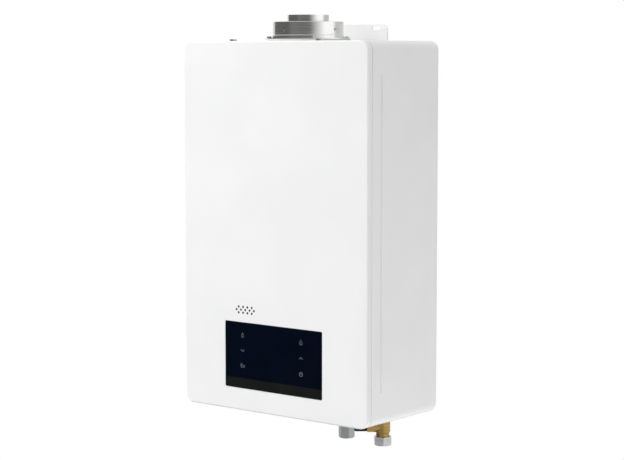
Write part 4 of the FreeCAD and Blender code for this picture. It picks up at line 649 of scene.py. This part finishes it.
def soft_box(bm, low, high, bevel):
    """A block with bevelled edges, in millimetres."""
    low, high = Vector(low), Vector(high)
    place = Matrix.Translation((low + high) / 2 * MM)
    made = bmesh.ops.create_cube(bm, size=MM, matrix=place @ Matrix.Diagonal((*(high - low), 1)))
    edges = {edge for vert in made["verts"] for edge in vert.link_edges}
    bmesh.ops.bevel(bm, geom=list(edges), offset=bevel * MM, segments=2, affect="EDGES", profile=0.5)


def lathe_y(bm, x, z, rings, columns=32):
    """A closed round form about an axis along Y, from (radius, y) rings in millimetres."""
    loops = []
    for radius, level in rings:
        angles = [2 * math.pi * column / columns for column in range(columns if radius else 1)]
        points = [Vector((x + radius * math.cos(angle), level, z + radius * math.sin(angle)))
                  for angle in angles]
        loops.append([bm.verts.new(point * MM) for point in points])
    for first, second in zip(loops, loops[1:]):
        for column in range(columns):
            after = (column + 1) % columns
            corners = [first[column % len(first)], first[after % len(first)],
                       second[after % len(second)], second[column % len(second)]]
            bm.faces.new(list(dict.fromkeys(corners)))


def board_block(bm, x0, x1, z0, z1, depth, bevel, lift=0.0):
    """A block on the board, in shares of the board and of the room before it; bevel and lift are in mm."""
    left, low = on_board(x0, z0)
    right, high = on_board(x1, z1)
    soft_box(bm, (left, BOARD_FACE - depth * BOARD_ROOM, low), (right, BOARD_FACE - lift, high), bevel)


def control_plate():
    bm = bmesh.new()
    left, low = on_board(0, 0)
    right, high = on_board(1, 1)
    soft_box(bm, (left, BOARD_FACE, low), (right, BOARD_FACE + BOARD_GAUGE, high), 0.3)
    plate = add_piece("control_plate", bm, GREEN, "chassis")
    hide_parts("control_board")


WINDING_TURNS = 9
WINDING_START, WINDING_SPAN, WINDING_WIDTH = 0.15, 0.30, 0.031
WINDING_LIFT = 0.38


def transformer():
    """An iron core with a yoke below and above it, and a taped winding in front."""
    bm = bmesh.new()
    board_block(bm, 0.10, 0.50, 0.08, 0.36, 0.40, 0.4)
    for z0, z1 in ((0.055, 0.08), (0.36, 0.385)):
        board_block(bm, 0.17, 0.43, z0, z1, 0.34, 0.3)
    add_piece("transformer_core", bm, PLATED, "chassis")
    bm = bmesh.new()
    for index in range(WINDING_TURNS):
        start = WINDING_START + WINDING_SPAN * index / WINDING_TURNS
        board_block(bm, start, start + WINDING_WIDTH, 0.12, 0.32, 0.62, 0.5, WINDING_LIFT * BOARD_ROOM)
    add_piece("transformer_winding", bm, TAPE, "chassis")


def relays():
    """Two relays, and a row of small chips above them."""
    bm = bmesh.new()
    board_block(bm, 0.60, 0.92, 0.08, 0.26, 0.45, 0.7)
    board_block(bm, 0.10, 0.42, 0.46, 0.62, 0.50, 0.7)
    for x in (0.60, 0.68, 0.76, 0.84):
        board_block(bm, x, x + 0.055, 0.64, 0.69, 0.05, 0.25)
    add_piece("relays", bm, BLACK, "chassis")


FINS, FIN_START, FIN_PITCH, FIN_WIDTH, FIN_LIFT = 7, 0.56, 0.055, 0.025, 1.0
SINK_LEVELS = 0.36, 0.58


def heat_sink():
    """Fins that stand on a base plate."""
    bm = bmesh.new()
    for index in range(FINS):
        start = FIN_START + FIN_PITCH * index
        board_block(bm, start, start + FIN_WIDTH, *SINK_LEVELS, 0.34, 0.25, FIN_LIFT)
    board_block(bm, 0.55, 0.93, *SINK_LEVELS, 0.09, 0.25)
    add_piece("heat_sink", bm, ALLOY, "chassis")


SOCKETS, SOCKET_START, SOCKET_PITCH, SOCKET_SHARE = 4, 0.10, 0.205, 0.185
POCKETS, POCKET_WALL = 4, 0.015
POCKET_LEVELS = 0.853, 0.937


def board_sockets():
    """A row of sockets along the board's upper edge, each with open pockets for its pins."""
    bm = bmesh.new()
    for index in range(SOCKETS):
        start = SOCKET_START + SOCKET_PITCH * index
        end = start + SOCKET_SHARE
        for z0, z1 in ((0.84, 0.855), (0.935, 0.95)):
            board_block(bm, start, end, z0, z1, 0.38, 0.3)
        for wall in range(POCKETS + 1):
            side = start + (SOCKET_SHARE - POCKET_WALL) * wall / POCKETS
            board_block(bm, side, side + POCKET_WALL, *POCKET_LEVELS, 0.38, 0.15)
        board_block(bm, start, end, *POCKET_LEVELS, 0.14, 0.15)
    add_piece("board_sockets", bm, NATURAL, "chassis")


CAPACITORS = ((0.55, 4.4, 0.5), (0.75, 4.4, 0.5), (0.17, 3.2, 0.35), (0.30, 3.2, 0.35))
CAPACITOR_ROW = 0.72


def board_capacitors():
    """Four cans: each has a groove low in its sleeve and a sunk top."""
    bm = bmesh.new()
    for share, radius, depth in CAPACITORS:
        x, z = on_board(share, CAPACITOR_ROW)
        top = BOARD_FACE - depth * BOARD_ROOM
        foot = [(0, BOARD_FACE), (radius - 0.4, BOARD_FACE), (radius, BOARD_FACE - 0.4)]
        neck = [(radius, BOARD_FACE - 1.6), (radius - 0.35, BOARD_FACE - 2.1), (radius, BOARD_FACE - 2.6)]
        rim = [(radius, top + 0.5), (radius - 0.5, top), (radius - 1.0, top)]
        lid = [(radius - 1.2, top + 0.3), (0, top + 0.3)]
        lathe_y(bm, x, z, foot + neck + rim + lid)
    add_piece("board_capacitors", bm, SLEEVE, "chassis")


control_plate()
transformer()
relays()
heat_sink()
board_sockets()
board_capacitors()


# The rear of the display board, which shows when the cover is off.

SOCKET_HEIGHT, SOCKET_WIDTH, SOCKET_RISE = 6, 24.6, 12.6
CONTACTS, CONTACT_PITCH = 6, 3.6
CONTACT_WIDTH, CONTACT_RISE, CONTACT_DEPTH = 2.4, 6, 1
CHIPS = ((0, 0, 14, 14), (0, 24, 10, 6), (-18, -26, 8, 5), (16, -26, 5, 5), (-16, 26, 6, 4))
CHIP_HEIGHT = 1.5
SKIN = 0.2


def display_parts():
    """Sockets and chips, set a skin's depth into the board, and the contacts in the sockets."""
    low, high = box_mm("display_board")
    face = high.y - SOCKET_HEIGHT
    middle = (low.z + high.z) / 2
    sockets, contacts, chips = (bmesh.new() for _ in range(3))

    def block(bm, x, z, width, rise, front, back, bevel):
        soft_box(bm, (x - width / 2, front, z - rise / 2), (x + width / 2, back, z + rise / 2), bevel)

    for side in (-1, 1):
        x = side * (high.x - low.x) / 4
        block(sockets, x, middle, SOCKET_WIDTH, SOCKET_RISE, face - SKIN, high.y + SKIN, 0.4)
        for index in range(CONTACTS):
            place = x + (index - (CONTACTS - 1) / 2) * CONTACT_PITCH
            block(contacts, place, middle, CONTACT_WIDTH, CONTACT_RISE,
                  high.y - CONTACT_DEPTH, high.y + 2 * SKIN, 0.15)
    for x, z, width, rise in CHIPS:
        block(chips, x, middle + z, width, rise, face - SKIN, face + CHIP_HEIGHT, 0.2)
    add_piece("display_sockets", sockets, NATURAL, "cover")
    add_piece("display_contacts", contacts, BLACK, "cover")
    add_piece("display_chips", chips, BLACK, "cover")


display_parts()


# The camera, the world and the floor.

CAMERA_PLACE = (1.61931, -2.10832, -0.03912)
CAMERA_PITCH = 5.6544
CAMERA_YAW = 38.6166
FOCAL_PIXELS = 1767.82
IMAGE_WIDTH = 624
SENSOR_WIDTH = 36


def add_camera():
    data = bpy.data.cameras.new("camera")
    data.sensor_fit = "HORIZONTAL"
    data.sensor_width = SENSOR_WIDTH
    data.lens = FOCAL_PIXELS * SENSOR_WIDTH / IMAGE_WIDTH
    obj = bpy.data.objects.new("camera", data)
    obj.location = CAMERA_PLACE
    obj.rotation_euler = (math.radians(90 - CAMERA_PITCH), 0, math.radians(CAMERA_YAW))
    bpy.context.scene.collection.objects.link(obj)
    bpy.context.scene.camera = obj


def seen_directly(tree):
    """1 for camera, glossy and transmission rays, 0 for the rays that light the object."""
    paths = tree.nodes.new("ShaderNodeLightPath")
    total = paths.outputs["Is Camera Ray"]
    for name in ("Is Glossy Ray", "Is Transmission Ray"):
        node = tree.nodes.new("ShaderNodeMath")
        node.operation = "MAXIMUM"
        tree.links.new(total, node.inputs[0])
        tree.links.new(paths.outputs[name], node.inputs[1])
        total = node.outputs[0]
    return total


def mix_shaders(tree, factor, first, second):
    node = tree.nodes.new("ShaderNodeMixShader")
    for socket, source in zip(node.inputs, (factor, first, second)):
        tree.links.new(source, socket)
    return node.outputs[0]


AMBIENT = 0.28


def add_world():
    """White where it is seen or mirrored, dimmer where it lights the object."""
    world = bpy.data.worlds.new("studio")
    bpy.context.scene.world = world
    tree, surface = empty_tree(world, "ShaderNodeOutputWorld")
    lit, seen = (tree.nodes.new("ShaderNodeBackground") for _ in range(2))
    lit.inputs["Strength"].default_value = AMBIENT
    for field in (lit, seen):
        field.inputs["Color"].default_value = (1, 1, 1, 1)
    tree.links.new(mix_shaders(tree, seen_directly(tree), lit.outputs[0], seen.outputs[0]), surface)


FLOOR_PLACE = (0, -0.1, -1)
FLOOR_REACH = 1.3
FLOOR_SEGMENTS = 96
FLOOR_WHITENESS = 0.9
FLOOR_FADE = 0.35, 1.2
FLOOR_GLOW = 0.55


def floor_material():
    """Matt from above, glowing white towards the edge where it is seen, and clear from below."""
    material = bpy.data.materials.new("floor_white")
    tree, surface = empty_tree(material, "ShaderNodeOutputMaterial")
    add, link = tree.nodes.new, tree.links.new
    matt = add("ShaderNodeBsdfDiffuse")
    glow = add("ShaderNodeEmission")
    clear = add("ShaderNodeBsdfTransparent")
    matt.inputs["Color"].default_value = (FLOOR_WHITENESS, FLOOR_WHITENESS, FLOOR_WHITENESS, 1)
    distance = add("ShaderNodeVectorMath")
    distance.operation = "LENGTH"
    link(add("ShaderNodeTexCoord").outputs["Object"], distance.inputs[0])
    fade = add("ShaderNodeMapRange")
    fade.interpolation_type = "SMOOTHSTEP"
    for name, value in zip(("From Min", "From Max", "To Min"), (*FLOOR_FADE, FLOOR_GLOW)):
        fade.inputs[name].default_value = value
    link(distance.outputs["Value"], fade.inputs["Value"])
    share = add("ShaderNodeMath")
    share.operation = "MULTIPLY"
    link(fade.outputs[0], share.inputs[0])
    link(seen_directly(tree), share.inputs[1])
    above = mix_shaders(tree, share.outputs[0], matt.outputs[0], glow.outputs[0])
    below = add("ShaderNodeNewGeometry").outputs["Backfacing"]
    link(mix_shaders(tree, below, above, clear.outputs[0]), surface)
    return material


def add_floor():
    """A pale floor that takes the object's shadow."""
    bm = bmesh.new()
    bmesh.ops.create_circle(bm, cap_ends=True, segments=FLOOR_SEGMENTS, radius=FLOOR_REACH)
    mesh = bpy.data.meshes.new("floor")
    bm.to_mesh(mesh)
    bm.free()
    mesh.materials.append(floor_material())
    obj = bpy.data.objects.new("floor", mesh)
    obj.location = FLOOR_PLACE
    bpy.context.scene.collection.objects.link(obj)


add_camera()
add_world()
add_floor()


# Studio cards that are only mirrored, by bearing in degrees, level in metres and tone.

CARD_DISTANCE, CARD_CENTRE, CARD_STEPS = 2.4, -0.09, 24
FOOT, KNEE, WAIST, HEAD = -1.6, -0.6, -0.45, 1.2
FADE_START, FADE_STEPS, FADE_WIDTH = 318, 11, 4
FADE_TONE, FADE_RISE = 0.32, 0.11
CARDS = (
    ("flag_left", (170, 212), (FOOT, HEAD), 0.16),
    ("flag_glass", (212, 248), (FOOT, WAIST), 0.015),
    ("flag_above", (212, 248), (WAIST, HEAD), 0.155),
    ("flag_stripe", (248, 272), (WAIST, HEAD), 0.23),
    ("flag_front", (272, FADE_START), (WAIST, HEAD), 0.2),
    ("flag_front_low", (248, FADE_START), (FOOT, WAIST), 0.5),
    ("softbox_right", (2, 42), (KNEE, HEAD), 1.5),
    ("flag_back", (44, 128), (KNEE, HEAD), 0.75),
)


def add_card(name, bearings, levels, tone):
    """A curved card that keeps part of the white room out of the gloss, or adds to it."""
    first, last = (math.radians(bearing) for bearing in bearings)
    points = []
    for index in range(CARD_STEPS + 1):
        angle = first + (last - first) * index / CARD_STEPS
        x, y = CARD_DISTANCE * math.cos(angle), CARD_DISTANCE * math.sin(angle) + CARD_CENTRE
        points += [(x, y, level) for level in levels]
    faces = [(corner, corner + 1, corner + 3, corner + 2) for corner in range(0, 2 * CARD_STEPS, 2)]
    mesh = bpy.data.meshes.new(name)
    mesh.from_pydata(points, [], faces)
    material = bpy.data.materials.new(name)
    tree, surface = empty_tree(material, "ShaderNodeOutputMaterial")
    glow = tree.nodes.new("ShaderNodeEmission")
    glow.inputs["Color"].default_value = (tone, tone, tone, 1)
    tree.links.new(glow.outputs[0], surface)
    mesh.materials.append(material)
    obj = bpy.data.objects.new(name, mesh)
    obj.visible_camera = obj.visible_diffuse = obj.visible_shadow = obj.visible_transmission = False
    bpy.context.scene.collection.objects.link(obj)


for card in CARDS:
    add_card(*card)
for step in range(FADE_STEPS):
    bearing = FADE_START + FADE_WIDTH * step
    add_card(f"fade_{step}", (bearing, bearing + FADE_WIDTH), (KNEE, HEAD), FADE_TONE + FADE_RISE * step)


# Lamps: place, target, width and height in metres, and power in watts.

MIDDLE = (0, -0.1, -0.28)
LAMPS = (
    ("key", (-1.4, -1.5, 0.9), MIDDLE, 1.4, 1.6, 36),
    ("front", (3.3, -3.9, 1.4), MIDDLE, 2.6, 2.6, 42),
    ("overhead", (0.2, -0.1, 2.4), MIDDLE, 1.6, 1.6, 25),
    ("middle", (0.1, -1.1, -0.2), (0, -0.17, -0.25), 0.5, 0.4, 1.5),
    ("right", (1.2, -0.1, -0.2), (0.17, -0.09, -0.25), 0.6, 0.5, 2.6),
    ("under", (0.36, -0.1, -0.97), (0.36, -0.1, 0), 0.4, 0.6, 0.7),
    ("back", (0, 1.6, -0.3), (0, 0, -0.3), 0.3, 0.5, 11),
)


def add_lamp(name, place, target, width, height, power):
    data = bpy.data.lights.new(name, "AREA")
    data.shape = "RECTANGLE"
    data.size = width
    data.size_y = height
    data.energy = power
    obj = bpy.data.objects.new(name, data)
    obj.location = place
    obj.rotation_euler = (Vector(target) - Vector(place)).to_track_quat("-Z", "Y").to_euler()
    obj.visible_camera = obj.visible_glossy = False
    bpy.context.scene.collection.objects.link(obj)


for lamp in LAMPS:
    add_lamp(*lamp)
bpy.context.scene.view_settings.view_transform = "Standard"
